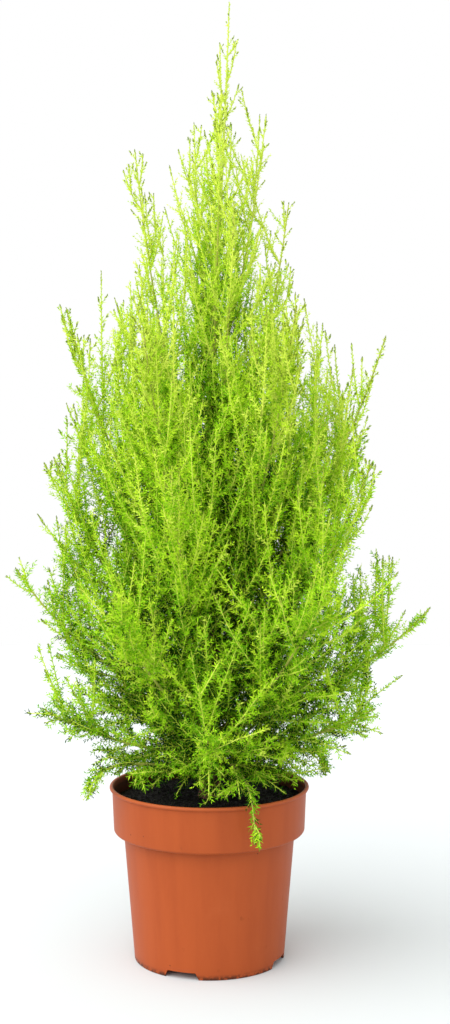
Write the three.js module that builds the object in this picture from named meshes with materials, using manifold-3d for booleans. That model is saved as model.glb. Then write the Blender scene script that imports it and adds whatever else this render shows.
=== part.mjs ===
// A young lemon cypress in a nursery pot: one trunk with ascending boughs, a cone of feathery
// foliage masses that keep to their own spaces round it, the soil, and a collared plastic pot.
// Millimetres, +Z up, origin at the centre of the pot's foot. -Y is the front.
import * as THREE from "three";
import { mergeVertices } from "three/addons/utils/BufferGeometryUtils.js";
import Module from "manifold-3d";

const wasm = await Module();
wasm.setup();

// Driving dimensions of the pot and its soil
const POT_HEIGHT = 167;
const POT_RIM_RADIUS = 95;
const POT_FOOT_RADIUS = 71.6;
const POT_WALL = 1.8;
const POT_SIDES = 44;
const BODY_TOP_RADIUS = 81.4;
const COLLAR_FOOT_Z = 115.5;
const COLLAR_FOOT_RADIUS = 91;
const COLLAR_RADIUS = 92.4;
const COLLAR_STEP = 3.3;
const COLLAR_TURN_IN = 14;
const LIP_HEIGHT = 7;
const FLOOR_Z = 7;
const FLOOR_THICKNESS = 2.4;
const CENTRE_FOOT_RADIUS = 24;
const NOTCH_COUNT = 4;
const NOTCH_WIDTH = 36;
const NOTCH_SLOPE = 4;
const NOTCH_TURN = THREE.MathUtils.degToRad(-111);
const SOIL_BELOW_RIM = 11;
const SOIL_MOUND = 3;

// Driving dimensions of the trunk
const TRUNK_FOOT_RADIUS = 8;
const TRUNK_FLARE = 3.5;
const TRUNK_FLARE_HEIGHT = 22;
const TRUNK_TIP_RADIUS = 1.5;
const TRUNK_TIP_Z = 745;
const TRUNK_LEAN = 12;
const TRUNK_SWAY = 5;
const TRUNK_SIDES = 8;
const TRUNK_STEPS = 22;

// Driving dimensions of the crown
const CROWN_TOP_Z = 900;
const CROWN_LEAN = 19;
const TURN_VARIES = 8;
const SHOOT_VARIES = 0.12;
const OUTSTANDING_VARIES = 0.02;
const STAGGER = 14;
const STAGGER_STEP = 0.618;
const BEND_OUT = 0.16;
const BEND_UP = 0.34;
const BEND_OUT_OVER_RIM = 0.5;
const BEND_UP_OVER_RIM = 30;
const BOUGH_FOOT_RADIUS = 3.4;
const BOUGH_TIP_RADIUS = 2.2;
const BOUGH_SIDES = 5;
const STEM_TIP_RADIUS = 1.1;
const CORE_RADIUS = 28;
const CORE_SHARE = 0.12;
const CORE_SIDES = 5;
const CORE_RINGS = 6;
const TWIG_RADIUS = 1.5;
const TWIG_TIP_RADIUS = 0.9;
const TWIG_SHARE = 0.3;
const TWIG_ANGLE = 0.6;
const TIP_SPRAY_SHARE = 0.8;
const SPRAY_WIDTH = 0.4;
const SPRAY_THICKNESS = 0.075;
const SPRAY_SUNK = 0.03;
const SPRAY_APART = 0.26;
const SPRAY_SIZES = [1, 0.8, 0.64];
const TRIES = 5;
// Lowest and highest share of a size, angle (radians) or place along a stem
const CORE_VARIES = [0.8, 1.2];
const TWIG_VARIES = [0.85, 1.15];
const SPRAY_VARIES = [0.75, 1];
const SPRAY_ANGLES = [0.55, 0.8];
const TWIG_ZONE = [0.12, 0.72];
const SPRAY_ZONE = [0.2, 0.92];
const GAP = 0.3;
const SPACE_MARGIN = 0.7;
const RIM_CLEARANCE = 4;
const SOIL_CLEARANCE = 5;
const GOLDEN_TURN = Math.PI * (3 - Math.sqrt(5));

// Each tier is a ring of boughs: how many, where they leave the trunk, how high and how far out
// their shoots end, the compass turn of the first (0 right, 90 back, 180 left, 270 front), how much
// of its own line a bough is bare wood, and the length and number of its sprays and its twigs.
const TIERS = [
  {
    name: "hem", count: 4, fromZ: 176, tipZ: 172, reach: 122, turn: 24,
    bare: 0, spray: 50, sprays: 5, twigs: 2,
  },
  {
    name: "skirt", count: 5, fromZ: 188, tipZ: 246, reach: 154, turn: 54,
    bare: 0.26, spray: 62, sprays: 7, twigs: 2,
  },
  {
    name: "lower", count: 6, fromZ: 214, tipZ: 368, reach: 180, turn: 0,
    bare: 0.28, spray: 70, sprays: 7, twigs: 2,
  },
  {
    name: "middle", count: 5, fromZ: 258, tipZ: 486, reach: 162, turn: 36,
    bare: 0.24, spray: 72, sprays: 7, twigs: 2,
  },
  {
    name: "upper", count: 6, fromZ: 318, tipZ: 606, reach: 128, turn: 0,
    bare: 0.2, spray: 70, sprays: 7, twigs: 1,
  },
  {
    name: "shoulder", count: 4, fromZ: 420, tipZ: 702, reach: 64, turn: 10,
    bare: 0, spray: 66, sprays: 8, twigs: 2,
  },
  {
    name: "top", count: 3, fromZ: 548, tipZ: 796, reach: 40, turn: 20,
    bare: 0, spray: 56, sprays: 8, twigs: 1,
  },
  {
    name: "leader", count: 1, fromZ: TRUNK_TIP_Z, tipZ: CROWN_TOP_Z, reach: 0, turn: 0,
    bare: 0, spray: 44, sprays: 8, twigs: 1,
  },
];
// Shoots that stand out of their tier's ring: the second leader on the left, the long plumes on both
// sides, the runners low on both sides, and the sprig that hangs over the rim in front.
const OUTSTANDING = {
  shoulder_3: { tipZ: 762, reach: 84 },
  upper_1: { tipZ: 590, reach: 154 },
  upper_4: { tipZ: 618, reach: 146 },
  lower_1: { tipZ: 336, reach: 206 },
  lower_4: { tipZ: 372, reach: 190 },
  hem_4: { tipZ: 128, reach: 110 },
};

// Numbers in 0..1 that are the same for the same seed
function seededRandom(seed) {
  let state = seed >>> 0;
  return () => {
    state = (state + 0x6d2b79f5) >>> 0;
    let mixed = Math.imul(state ^ (state >>> 15), state | 1);
    mixed ^= mixed + Math.imul(mixed ^ (mixed >>> 7), mixed | 61);
    return ((mixed ^ (mixed >>> 14)) >>> 0) / 4294967296;
  };
}

const within = ([low, high], share) => low + (high - low) * share;

// A closed solid from a geometry whose shared vertices are merged
function solidFrom(geometry) {
  const bare = geometry.clone();
  bare.deleteAttribute("normal");
  bare.deleteAttribute("uv");
  const merged = mergeVertices(bare, 1e-3);
  const index = merged.index.array;
  const kept = [];
  for (let i = 0; i < index.length; i += 3) {
    const [a, b, c] = [index[i], index[i + 1], index[i + 2]];
    if (a !== b && b !== c && a !== c) kept.push(a, b, c);
  }
  const make = (triVerts) =>
    new wasm.Manifold(
      new wasm.Mesh({
        numProp: 3,
        vertProperties: new Float32Array(merged.attributes.position.array),
        triVerts: new Uint32Array(triVerts),
      }),
    );
  const solid = make(kept);
  return solid.volume() > 0 ? solid : make(kept.reverse());
}

// The named mesh of a solid, without the scraps that a cut can leave
function meshFrom(name, solid, material) {
  const largest = solid.decompose().reduce((a, b) => (a.volume() > b.volume() ? a : b));
  const made = largest.getMesh();
  const geometry = new THREE.BufferGeometry();
  geometry.setAttribute("position", new THREE.BufferAttribute(new Float32Array(made.vertProperties), 3));
  geometry.setIndex(new THREE.BufferAttribute(new Uint32Array(made.triVerts), 1));
  geometry.computeVertexNormals();
  const mesh = new THREE.Mesh(geometry, material);
  mesh.name = name;
  return mesh;
}

// A surface turned about Z from a profile of (radius, height) points
function turned(profile, sides) {
  return new THREE.LatheGeometry(profile, sides).rotateX(Math.PI / 2);
}

// A tapering limb: a cylinder bent along a curve, its section held square to the curve by one side
// vector, its radius given along the curve
function limb(curve, side, radiusAt, sides, steps) {
  const geometry = new THREE.CylinderGeometry(1, 1, 1, sides, steps);
  const place = geometry.attributes.position;
  for (let i = 0; i < place.count; i++) {
    const t = place.getY(i) + 0.5;
    const along = curve.getTangent(t);
    const across = side.clone().addScaledVector(along, -side.dot(along)).normalize();
    const third = new THREE.Vector3().crossVectors(along, across);
    const at = curve
      .getPoint(t)
      .addScaledVector(across, place.getX(i) * radiusAt(t))
      .addScaledVector(third, place.getZ(i) * radiusAt(t));
    place.setXYZ(i, at.x, at.y, at.z);
  }
  return solidFrom(geometry);
}

// The part of a curve between two of its parameters
function stretch(curve, from, to) {
  const part = new THREE.Curve();
  part.getPoint = (t) => curve.getPoint(from + (to - from) * t);
  return part;
}

// A vector square to another one
function squareTo(direction) {
  const sizes = direction.toArray().map(Math.abs);
  const helper = new THREE.Vector3();
  helper.setComponent(sizes.indexOf(Math.min(...sizes)), 1);
  return helper.cross(direction).normalize();
}

// The pot: a turned shell with a collar, a rolled lip, a raised floor on a foot ring and a centre
// foot, and drain notches cut through the foot ring
function potSolid() {
  const lipZ = POT_HEIGHT - LIP_HEIGHT;
  const collarZ = COLLAR_FOOT_Z + COLLAR_TURN_IN;
  const turnIn = new THREE.EllipseCurve(
    BODY_TOP_RADIUS + COLLAR_STEP,
    collarZ,
    COLLAR_FOOT_RADIUS - BODY_TOP_RADIUS - COLLAR_STEP,
    COLLAR_TURN_IN - COLLAR_STEP,
    -Math.PI / 2,
    0,
  );
  const lip = new THREE.EllipseCurve(
    POT_RIM_RADIUS - POT_WALL,
    POT_HEIGHT - POT_WALL,
    POT_WALL,
    POT_WALL,
    -Math.PI / 4,
    Math.PI,
  );
  const profile = [
    new THREE.Vector2(0, 0),
    new THREE.Vector2(CENTRE_FOOT_RADIUS, 0),
    new THREE.Vector2(CENTRE_FOOT_RADIUS, FLOOR_Z),
    new THREE.Vector2(POT_FOOT_RADIUS - 2 * POT_WALL, FLOOR_Z),
    new THREE.Vector2(POT_FOOT_RADIUS - POT_WALL, 0),
    new THREE.Vector2(POT_FOOT_RADIUS, 0),
    new THREE.Vector2(BODY_TOP_RADIUS, COLLAR_FOOT_Z),
    ...turnIn.getPoints(3),
    new THREE.Vector2(COLLAR_RADIUS, lipZ),
    ...lip.getPoints(5),
    new THREE.Vector2(COLLAR_RADIUS - POT_WALL, lipZ),
    new THREE.Vector2(COLLAR_FOOT_RADIUS - POT_WALL, collarZ),
    new THREE.Vector2(BODY_TOP_RADIUS - POT_WALL, COLLAR_FOOT_Z),
    new THREE.Vector2(POT_FOOT_RADIUS - POT_WALL, FLOOR_Z + FLOOR_THICKNESS),
    new THREE.Vector2(0, FLOOR_Z + FLOOR_THICKNESS),
  ];
  let pot = solidFrom(turned(profile, POT_SIDES));
  const outline = new THREE.Shape([
    new THREE.Vector2(-NOTCH_WIDTH / 2, -1),
    new THREE.Vector2(NOTCH_WIDTH / 2, -1),
    new THREE.Vector2(NOTCH_WIDTH / 2 - NOTCH_SLOPE, FLOOR_Z - GAP),
    new THREE.Vector2(NOTCH_SLOPE - NOTCH_WIDTH / 2, FLOOR_Z - GAP),
  ]);
  for (let i = 0; i < NOTCH_COUNT; i++) {
    const notch = new THREE.ExtrudeGeometry(outline, { depth: 4 * NOTCH_SLOPE, bevelEnabled: false });
    notch.rotateX(Math.PI / 2);
    notch.rotateZ(Math.PI / 2);
    notch.translate(POT_FOOT_RADIUS - 3 * NOTCH_SLOPE, 0, 0);
    notch.rotateZ(NOTCH_TURN + (i * 2 * Math.PI) / NOTCH_COUNT);
    pot = pot.subtract(solidFrom(notch));
  }
  return pot;
}

const SOIL_Z = POT_HEIGHT - SOIL_BELOW_RIM;

// The soil: it fills the pot to below the rim, mounded a little, and flat where the trunk stands
function soilSolid() {
  const clear = POT_WALL + GAP;
  const flat = 1.5 * (TRUNK_FOOT_RADIUS + TRUNK_FLARE);
  const edgeRadius = COLLAR_RADIUS - clear - 2 * GAP;
  const profile = [
    new THREE.Vector2(0, FLOOR_Z + FLOOR_THICKNESS + GAP),
    new THREE.Vector2(POT_FOOT_RADIUS - clear, FLOOR_Z + FLOOR_THICKNESS + GAP),
    new THREE.Vector2(BODY_TOP_RADIUS - clear - GAP, COLLAR_FOOT_Z),
    new THREE.Vector2(COLLAR_FOOT_RADIUS - clear - GAP, COLLAR_FOOT_Z + COLLAR_TURN_IN),
    new THREE.Vector2(edgeRadius, SOIL_Z - SOIL_MOUND),
    new THREE.Vector2(edgeRadius * 0.6, SOIL_Z - SOIL_MOUND * 0.4),
    new THREE.Vector2(flat, SOIL_Z),
    new THREE.Vector2(0, SOIL_Z),
  ];
  return solidFrom(turned(profile, POT_SIDES));
}

const TRUNK_FOOT_Z = SOIL_Z + GAP;
const TRUNK_HEIGHT = TRUNK_TIP_Z - TRUNK_FOOT_Z;

// The trunk's line: it leans to the right and sways a little on its way up
class TrunkCurve extends THREE.Curve {
  getPoint(t) {
    const sway = TRUNK_SWAY * Math.sin(Math.PI * 2 * t);
    const lean = TRUNK_LEAN * Math.max(t, 0) ** 1.5;
    return new THREE.Vector3(lean + sway * 0.6, sway, TRUNK_FOOT_Z + TRUNK_HEIGHT * t);
  }
  // Sections stay level, so the trunk is cut flat at its foot and at its tip
  getTangent() {
    return new THREE.Vector3(0, 0, 1);
  }
}
const trunkCurve = new TrunkCurve();
const trunkShare = (z) => (z - TRUNK_FOOT_Z) / TRUNK_HEIGHT;

function trunkRadius(t) {
  const flare = TRUNK_FLARE * Math.max(0, 1 - (t * TRUNK_HEIGHT) / TRUNK_FLARE_HEIGHT) ** 2;
  return TRUNK_FOOT_RADIUS + (TRUNK_TIP_RADIUS - TRUNK_FOOT_RADIUS) * t ** 0.9 + flare;
}

function trunkSolid(extra = 0) {
  const radius = (t) => trunkRadius(t) + extra;
  return limb(trunkCurve, new THREE.Vector3(1, 0, 0), radius, TRUNK_SIDES, TRUNK_STEPS);
}

// Where each shoot runs: from the trunk outwards, then sweeping up to its tip, or over the rim
function planShoot(tier, i, seed) {
  const name = tier.count > 1 ? `${tier.name}_${i + 1}` : tier.name;
  const random = seededRandom(seed);
  const { tipZ, reach } = { ...tier, ...OUTSTANDING[name] };
  const varies = name in OUTSTANDING ? OUTSTANDING_VARIES : SHOOT_VARIES;
  const vary = () => 1 + (random() - 0.5) * varies;
  const degrees = tier.turn + (360 * i) / tier.count + (random() - 0.5) * TURN_VARIES;
  const turn = THREE.MathUtils.degToRad(degrees);
  const out = new THREE.Vector3(Math.cos(turn), Math.sin(turn), 0);
  const ownReach = reach * vary();
  const rise = (tipZ - tier.fromZ) * (tier.count > 1 ? vary() : 1);
  const from = trunkCurve.getPoint(trunkShare(tier.fromZ + STAGGER * ((i * STAGGER_STEP) % 1)));
  if (tier.count === 1) from.z = TRUNK_TIP_Z + GAP;
  const lean = (CROWN_LEAN * (tipZ - SOIL_Z)) / (CROWN_TOP_Z - SOIL_Z);
  const tip = new THREE.Vector3(lean, 0, tier.fromZ + rise).addScaledVector(out, ownReach);
  const rises = rise > 0;
  const bend = from.clone().lerp(tip, 0.5);
  bend.addScaledVector(out, ownReach * (rises ? BEND_OUT : BEND_OUT_OVER_RIM));
  bend.z = from.z + (rises ? (tip.z - from.z) * BEND_UP : BEND_UP_OVER_RIM);
  return {
    name,
    tier,
    random,
    curve: new THREE.QuadraticBezierCurve3(from, bend, tip),
    side: new THREE.Vector3(-out.y, out.x, 0),
    length: from.distanceTo(tip),
  };
}

function planShoots() {
  return TIERS.flatMap((tier, ring) =>
    Array.from({ length: tier.count }, (_, i) => planShoot(tier, i, 1000 * (ring + 1) + i)),
  );
}

// Spaces: a point belongs to the shoot whose line is nearest
function distanceToLine(point, line) {
  const segment = new THREE.Line3();
  const nearest = new THREE.Vector3();
  let least = Infinity;
  for (let i = 0; i + 1 < line.length; i++) {
    segment.set(line[i], line[i + 1]).closestPointToPoint(point, true, nearest);
    least = Math.min(least, nearest.distanceToSquared(point));
  }
  return Math.sqrt(least);
}

function clearOfPot(point) {
  const radius = Math.hypot(point.x, point.y);
  if (radius > POT_RIM_RADIUS + RIM_CLEARANCE) return true;
  if (point.z > POT_HEIGHT + RIM_CLEARANCE) return true;
  return point.z > SOIL_Z + SOIL_CLEARANCE && radius < POT_RIM_RADIUS - 2 * RIM_CLEARANCE;
}

function clearOfTrunk(point) {
  const t = THREE.MathUtils.clamp(trunkShare(point.z), 0, 1);
  return trunkCurve.getPoint(t).distanceTo(point) > trunkRadius(t) + 2 * SPACE_MARGIN;
}

function keepsToItsSpace(points, own, lines) {
  const apart = 2 * SPACE_MARGIN + BOUGH_FOOT_RADIUS / 2;
  return points.every((point) => {
    if (!clearOfPot(point) || !clearOfTrunk(point)) return false;
    const mine = distanceToLine(point, lines[own]);
    return lines.every((line, other) => other === own || distanceToLine(point, line) - mine > apart);
  });
}

// Rim of a spray seen flat, as shares of its length and half width: root, teeth and notches, tip
const SPRAY_RIM = [
  [1, 0],
  [0.74, 0.66],
  [0.57, 0.36],
  [0.4, 1],
  [0, 0],
  [0.46, -1],
  [0.62, -0.36],
  [0.79, -0.66],
];

// A spray of needles: a toothed blade, thick at its middle and sharp at its rim. It is a lens whose
// rim is drawn out to the teeth. The root is sunk in the twig.
function sprayPoints(root, along, across, length) {
  const half = (length * SPRAY_WIDTH) / 2;
  const start = root.clone().addScaledVector(along, -length * SPRAY_SUNK);
  const normal = new THREE.Vector3().crossVectors(along, across);
  const at = (u, v, w) =>
    start
      .clone()
      .addScaledVector(along, u * length * (1 + SPRAY_SUNK))
      .addScaledVector(across, v * half)
      .addScaledVector(normal, w * length);
  return {
    rim: SPRAY_RIM.map(([u, v]) => at(u, v, 0)),
    low: at(0.5, 0, -SPRAY_THICKNESS / 2),
    high: at(0.5, 0, SPRAY_THICKNESS / 2),
  };
}

function spraySolid({ rim, low, high }) {
  const lens = new THREE.LatheGeometry(
    [new THREE.Vector2(0, -1), new THREE.Vector2(1, 0), new THREE.Vector2(0, 1)],
    rim.length,
  );
  const place = lens.attributes.position;
  const perColumn = 3;
  for (let i = 0; i < place.count; i++) {
    const column = Math.floor(i / perColumn) % rim.length;
    const at = [low, rim[column], high][i % perColumn];
    place.setXYZ(i, at.x, at.y, at.z);
  }
  return solidFrom(lens);
}

// A direction that leaves another one at an angle, turned about it
function leaving(along, turn, angle) {
  const out = squareTo(along).applyAxisAngle(along, turn);
  return along.clone().multiplyScalar(Math.cos(angle)).addScaledVector(out, Math.sin(angle)).normalize();
}

// One mass of foliage: a stem that swells to a slim dense core, sprays that stand out of it by the
// golden turn, and twigs that carry a spray further out. What would leave the mass's own space or
// touch a limb is tried smaller, then skipped.
function foliageSolid(shoots, own, lines) {
  const { curve, side, random, tier, length } = shoots[own];
  const tipSpray = tier.spray * TIP_SPRAY_SHARE;
  const stemStart = tier.bare > 0 ? tier.bare + GAP / length : 0;
  const stemEnd = curve.getUtoTmapping(0, curve.getLength() - tipSpray);
  const alongStem = (share) => stemStart + (stemEnd - stemStart) * share;
  const fits = (points) => keepsToItsSpace(points, own, lines);

  const coreRadii = Array.from({ length: CORE_RINGS + 1 }, (_, ring) => {
    const share = ring / CORE_RINGS;
    const at = curve.getPoint(alongStem(share));
    const along = curve.getTangent(alongStem(share));
    const stemRadius = THREE.MathUtils.lerp(BOUGH_TIP_RADIUS, STEM_TIP_RADIUS, share);
    const fullest = Math.min(CORE_RADIUS, length * CORE_SHARE) * within(CORE_VARIES, random());
    let radius = fullest * Math.sin(Math.PI * share ** 0.8);
    const around = (turn) => at.clone().addScaledVector(leaving(along, turn, Math.PI / 2), radius * 1.15);
    while (radius > stemRadius && !fits([0, 1, 2, 3, 4, 5].map(around))) radius *= 0.85;
    return Math.max(radius, stemRadius);
  });
  const coreRadius = (share) => coreRadii[Math.round(share * CORE_RINGS)];
  let mass = limb(stretch(curve, stemStart, stemEnd), side, coreRadius, CORE_SIDES, CORE_RINGS);

  const taken = [];
  const addSpray = (root, along, size, roll) => {
    const across = squareTo(along).applyAxisAngle(along, roll);
    const spray = sprayPoints(root, along, across, size);
    const middle = [0.45, 0.7, 0.95].map((share) => root.clone().addScaledVector(along, size * share));
    const near = (point) => taken.some((other) => point.distanceTo(other) < size * SPRAY_APART);
    const outside = spray.rim.filter((_, i) => SPRAY_RIM[i][0] > 0).concat(spray.low, spray.high);
    if (middle.some(near) || !fits(outside)) return false;
    taken.push(...middle);
    mass = mass.add(spraySolid(spray));
    return true;
  };
  const trySizes = (root, along, size, roll) =>
    SPRAY_SIZES.some((share) => addSpray(root, along, size * share, roll));

  addSpray(curve.getPoint(stemEnd), curve.getTangent(stemEnd), tipSpray, random() * 3);
  let turn = random() * 6;
  for (let k = 0; k < tier.twigs; k++) {
    const share = within(TWIG_ZONE, (k + 0.5) / tier.twigs);
    const t = alongStem(share);
    const root = curve.getPoint(t);
    const twigLength = length * TWIG_SHARE * (1 - 0.5 * share) * within(TWIG_VARIES, random());
    for (let tries = 0; tries < TRIES; tries++) {
      turn += GOLDEN_TURN;
      const along = leaving(curve.getTangent(t), turn, TWIG_ANGLE);
      const twig = new THREE.LineCurve3(root, root.clone().addScaledVector(along, twigLength));
      if (!fits(twig.getPoints(4).slice(1))) continue;
      const taper = (s) => THREE.MathUtils.lerp(TWIG_RADIUS, TWIG_TIP_RADIUS, s);
      mass = mass.add(limb(twig, squareTo(along), taper, 3, 1));
      trySizes(twig.getPoint(0.8), along, tier.spray * within(SPRAY_VARIES, random()), turn);
      break;
    }
  }
  for (let k = 0; k < tier.sprays; k++) {
    const share = within(SPRAY_ZONE, (k + 0.5) / tier.sprays);
    const t = alongStem(share);
    for (let tries = 0; tries < TRIES; tries++) {
      turn += GOLDEN_TURN;
      const along = leaving(curve.getTangent(t), turn, within(SPRAY_ANGLES, random()));
      const root = curve.getPoint(t).addScaledVector(along, coreRadius(share) * 0.7);
      if (trySizes(root, along, tier.spray * within(SPRAY_VARIES, random()), turn)) break;
    }
  }
  return mass;
}

// A bough: the bare wood from the trunk to where it enters its foliage
function boughSolid({ curve, side, tier }, trunkClear) {
  const radius = (t) => THREE.MathUtils.lerp(BOUGH_FOOT_RADIUS, BOUGH_TIP_RADIUS, t);
  return limb(stretch(curve, 0, tier.bare), side, radius, BOUGH_SIDES, 2).subtract(trunkClear);
}

const finish = (color, roughness) => new THREE.MeshStandardMaterial({ color, roughness, metalness: 0 });
const terracotta = finish(0xc7653c, 0.45);
const peat = finish(0x1f1812, 0.95);
const bark = finish(0x6e5038, 0.9);
const lemonGreen = finish(0x8fc31c, 0.7);

const cypress = new THREE.Group();
cypress.add(meshFrom("pot", potSolid(), terracotta));
cypress.add(meshFrom("soil", soilSolid(), peat));
cypress.add(meshFrom("trunk", trunkSolid(), bark));

const SAMPLES_PER_SHOOT = 24;
const trunkClear = trunkSolid(GAP);
const shoots = planShoots();
const lines = shoots.map((shoot) => shoot.curve.getPoints(SAMPLES_PER_SHOOT));
shoots.forEach((shoot, own) => {
  if (shoot.tier.bare > 0) {
    cypress.add(meshFrom(`bough_${shoot.name}`, boughSolid(shoot, trunkClear), bark));
  }
  const mass = foliageSolid(shoots, own, lines).subtract(trunkClear);
  cypress.add(meshFrom(`foliage_${shoot.name}`, mass, lemonGreen));
});

export default cypress;
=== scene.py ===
"""A young lemon cypress in a nursery pot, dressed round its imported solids.

Shapes are worked out in millimetres and become meshes in metres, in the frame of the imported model:
+Z is up, the origin is the centre of the pot's foot, and -Y is the front.
"""

import logging
import math
from dataclasses import dataclass, field
from enum import Enum

import bpy
import numpy as np
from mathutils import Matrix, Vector, noise


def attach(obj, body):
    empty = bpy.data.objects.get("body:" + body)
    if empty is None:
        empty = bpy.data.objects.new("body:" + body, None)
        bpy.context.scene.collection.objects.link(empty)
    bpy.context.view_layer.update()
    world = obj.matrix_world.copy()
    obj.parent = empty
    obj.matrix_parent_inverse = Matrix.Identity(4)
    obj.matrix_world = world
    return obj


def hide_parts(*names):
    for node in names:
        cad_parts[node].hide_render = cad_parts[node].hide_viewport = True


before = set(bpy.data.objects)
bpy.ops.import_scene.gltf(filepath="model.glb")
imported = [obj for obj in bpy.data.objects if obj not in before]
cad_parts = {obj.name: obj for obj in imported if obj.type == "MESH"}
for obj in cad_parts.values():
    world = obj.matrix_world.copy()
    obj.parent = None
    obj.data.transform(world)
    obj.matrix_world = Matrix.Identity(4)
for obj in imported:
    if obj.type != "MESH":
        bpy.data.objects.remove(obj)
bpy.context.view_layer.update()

logging.basicConfig(level=logging.INFO, format="%(message)s")
log = logging.getLogger("cypress")

Colour = tuple[float, float, float, float]
Plain = float | tuple[float, ...]
Pair = tuple[float, float]

MM = 0.001
BODY = "root"
GOLDEN_TURN = math.pi * (3 - math.sqrt(5))
ANY_TURN = 6.0  # nearly a full turn, for the first of the things on a twig
UP = np.array([0.0, 0.0, 1.0])
MOST_TRIANGLES = 190_000


def linear(red: int, green: int, blue: int) -> Colour:
    """A shader's colour from the 0 to 255 values that a screen shows.

    Args:
        red, green, blue: the screen's values.

    Returns:
        The linear colour, with full alpha.
    """

    def one(value: int) -> float:
        """One channel, by the screen's own curve."""
        share = value / 255
        return share / 12.92 if share <= 0.04045 else ((share + 0.055) / 1.055) ** 2.4

    return (one(red), one(green), one(blue), 1.0)


class Value:
    """A shader socket that takes part in Python arithmetic. Each operation adds a Math node."""

    def __init__(self, graph: "Graph", socket: bpy.types.NodeSocket) -> None:
        """Keeps the socket and the graph that it is in."""
        self.graph = graph
        self.socket = socket

    def maths(self, operation: str, first: "Value | float", second: "Value | float") -> "Value":
        """One Math node on two values."""
        return self.graph.node("ShaderNodeMath", {"operation": operation}, {0: first, 1: second})

    def __add__(self, other: "Value | float") -> "Value":
        """self + other."""
        return self.maths("ADD", self, other)

    def __radd__(self, other: float) -> "Value":
        """other + self."""
        return self.maths("ADD", other, self)

    def __sub__(self, other: "Value | float") -> "Value":
        """self - other."""
        return self.maths("SUBTRACT", self, other)

    def __rsub__(self, other: float) -> "Value":
        """other - self."""
        return self.maths("SUBTRACT", other, self)

    def __mul__(self, other: "Value | float") -> "Value":
        """self * other."""
        return self.maths("MULTIPLY", self, other)

    def __rmul__(self, other: float) -> "Value":
        """other * self."""
        return self.maths("MULTIPLY", other, self)

    def between(self, low: float, high: float) -> "Value":
        """0 below low and 1 above high, smooth between. High may be the lower one."""
        sockets = {"Value": self, "From Min": low, "From Max": high}
        return self.graph.node("ShaderNodeMapRange", {"interpolation_type": "SMOOTHSTEP"}, sockets)


class Graph:
    """The nodes of one material."""

    MIX_FACTOR, MIX_FIRST, MIX_SECOND, MIX_RESULT = 0, 6, 7, 2
    MOTTLE_ROUGHNESS = 0.6

    def __init__(self, name: str) -> None:
        """Starts an empty material.

        Args:
            name: the material's name.
        """
        self.material = bpy.data.materials.new(name)
        self.material.use_nodes = True
        self.tree = self.material.node_tree
        self.tree.nodes.clear()

    def node(
        self,
        kind: str,
        settings: dict[str, object],
        sockets: dict[str | int, "Value | Plain"],
        output: str | int = 0,
    ) -> Value:
        """Adds any node.

        Args:
            kind: the node's type.
            settings: its properties, which are set first.
            sockets: a value or a link for each of its inputs, by name or number.
            output: the output that is wanted.

        Returns:
            That output.
        """
        made = self.tree.nodes.new(kind)
        for name, value in settings.items():
            setattr(made, name, value)
        for name, value in sockets.items():
            if isinstance(value, Value):
                self.tree.links.new(value.socket, made.inputs[name])
            else:
                made.inputs[name].default_value = value
        return Value(self, made.outputs[output])

    def place(self) -> Value:
        """Where a point of the surface is on the object, in metres."""
        return self.node("ShaderNodeTexCoord", {}, {}, "Object")

    def axis(self, name: str) -> Value:
        """One coordinate of the place, X, Y or Z."""
        return self.node("ShaderNodeSeparateXYZ", {}, {"Vector": self.place()}, name)

    def away(self) -> Value:
        """The square of the distance from the upright axis."""
        return self.axis("X") * self.axis("X") + self.axis("Y") * self.axis("Y")

    def stretched(self, across: float, along: float) -> Value:
        """The place with its level and upright coordinates scaled apart, for grain."""
        sockets = {"Vector": self.place(), "Scale": (across, across, along)}
        return self.node("ShaderNodeMapping", {}, sockets)

    def mottle(self, place: Value, scale: float, detail: float = 4.0) -> Value:
        """Soft noise in 0 to 1."""
        sockets = {"Vector": place, "Scale": scale, "Detail": detail, "Roughness": self.MOTTLE_ROUGHNESS}
        return self.node("ShaderNodeTexNoise", {}, sockets, "Fac")

    def mixed(self, share: "Value | float", first: "Value | Colour", second: "Value | Colour") -> Value:
        """Two colours mixed, all second where share is 1."""
        sockets = {self.MIX_FACTOR: share, self.MIX_FIRST: first, self.MIX_SECOND: second}
        return self.node("ShaderNodeMix", {"data_type": "RGBA"}, sockets, self.MIX_RESULT)

    def bump(self, height: Value, distance: float, strength: float) -> Value:
        """A surface's small relief from a height in 0 to 1."""
        sockets = {"Height": height, "Distance": distance, "Strength": strength}
        return self.node("ShaderNodeBump", {}, sockets)

    def finish(self, sockets: dict[str | int, "Value | Plain"]) -> bpy.types.Material:
        """Closes the material with one Principled shader.

        Args:
            sockets: a value or a link for each of the shader's inputs.

        Returns:
            The material.
        """
        shader = self.node("ShaderNodeBsdfPrincipled", {}, sockets)
        self.node_output(shader)
        return self.material

    def node_output(self, shader: Value) -> None:
        """Links a shader to the material's output."""
        end = self.tree.nodes.new("ShaderNodeOutputMaterial")
        self.tree.links.new(shader.socket, end.inputs["Surface"])


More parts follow.
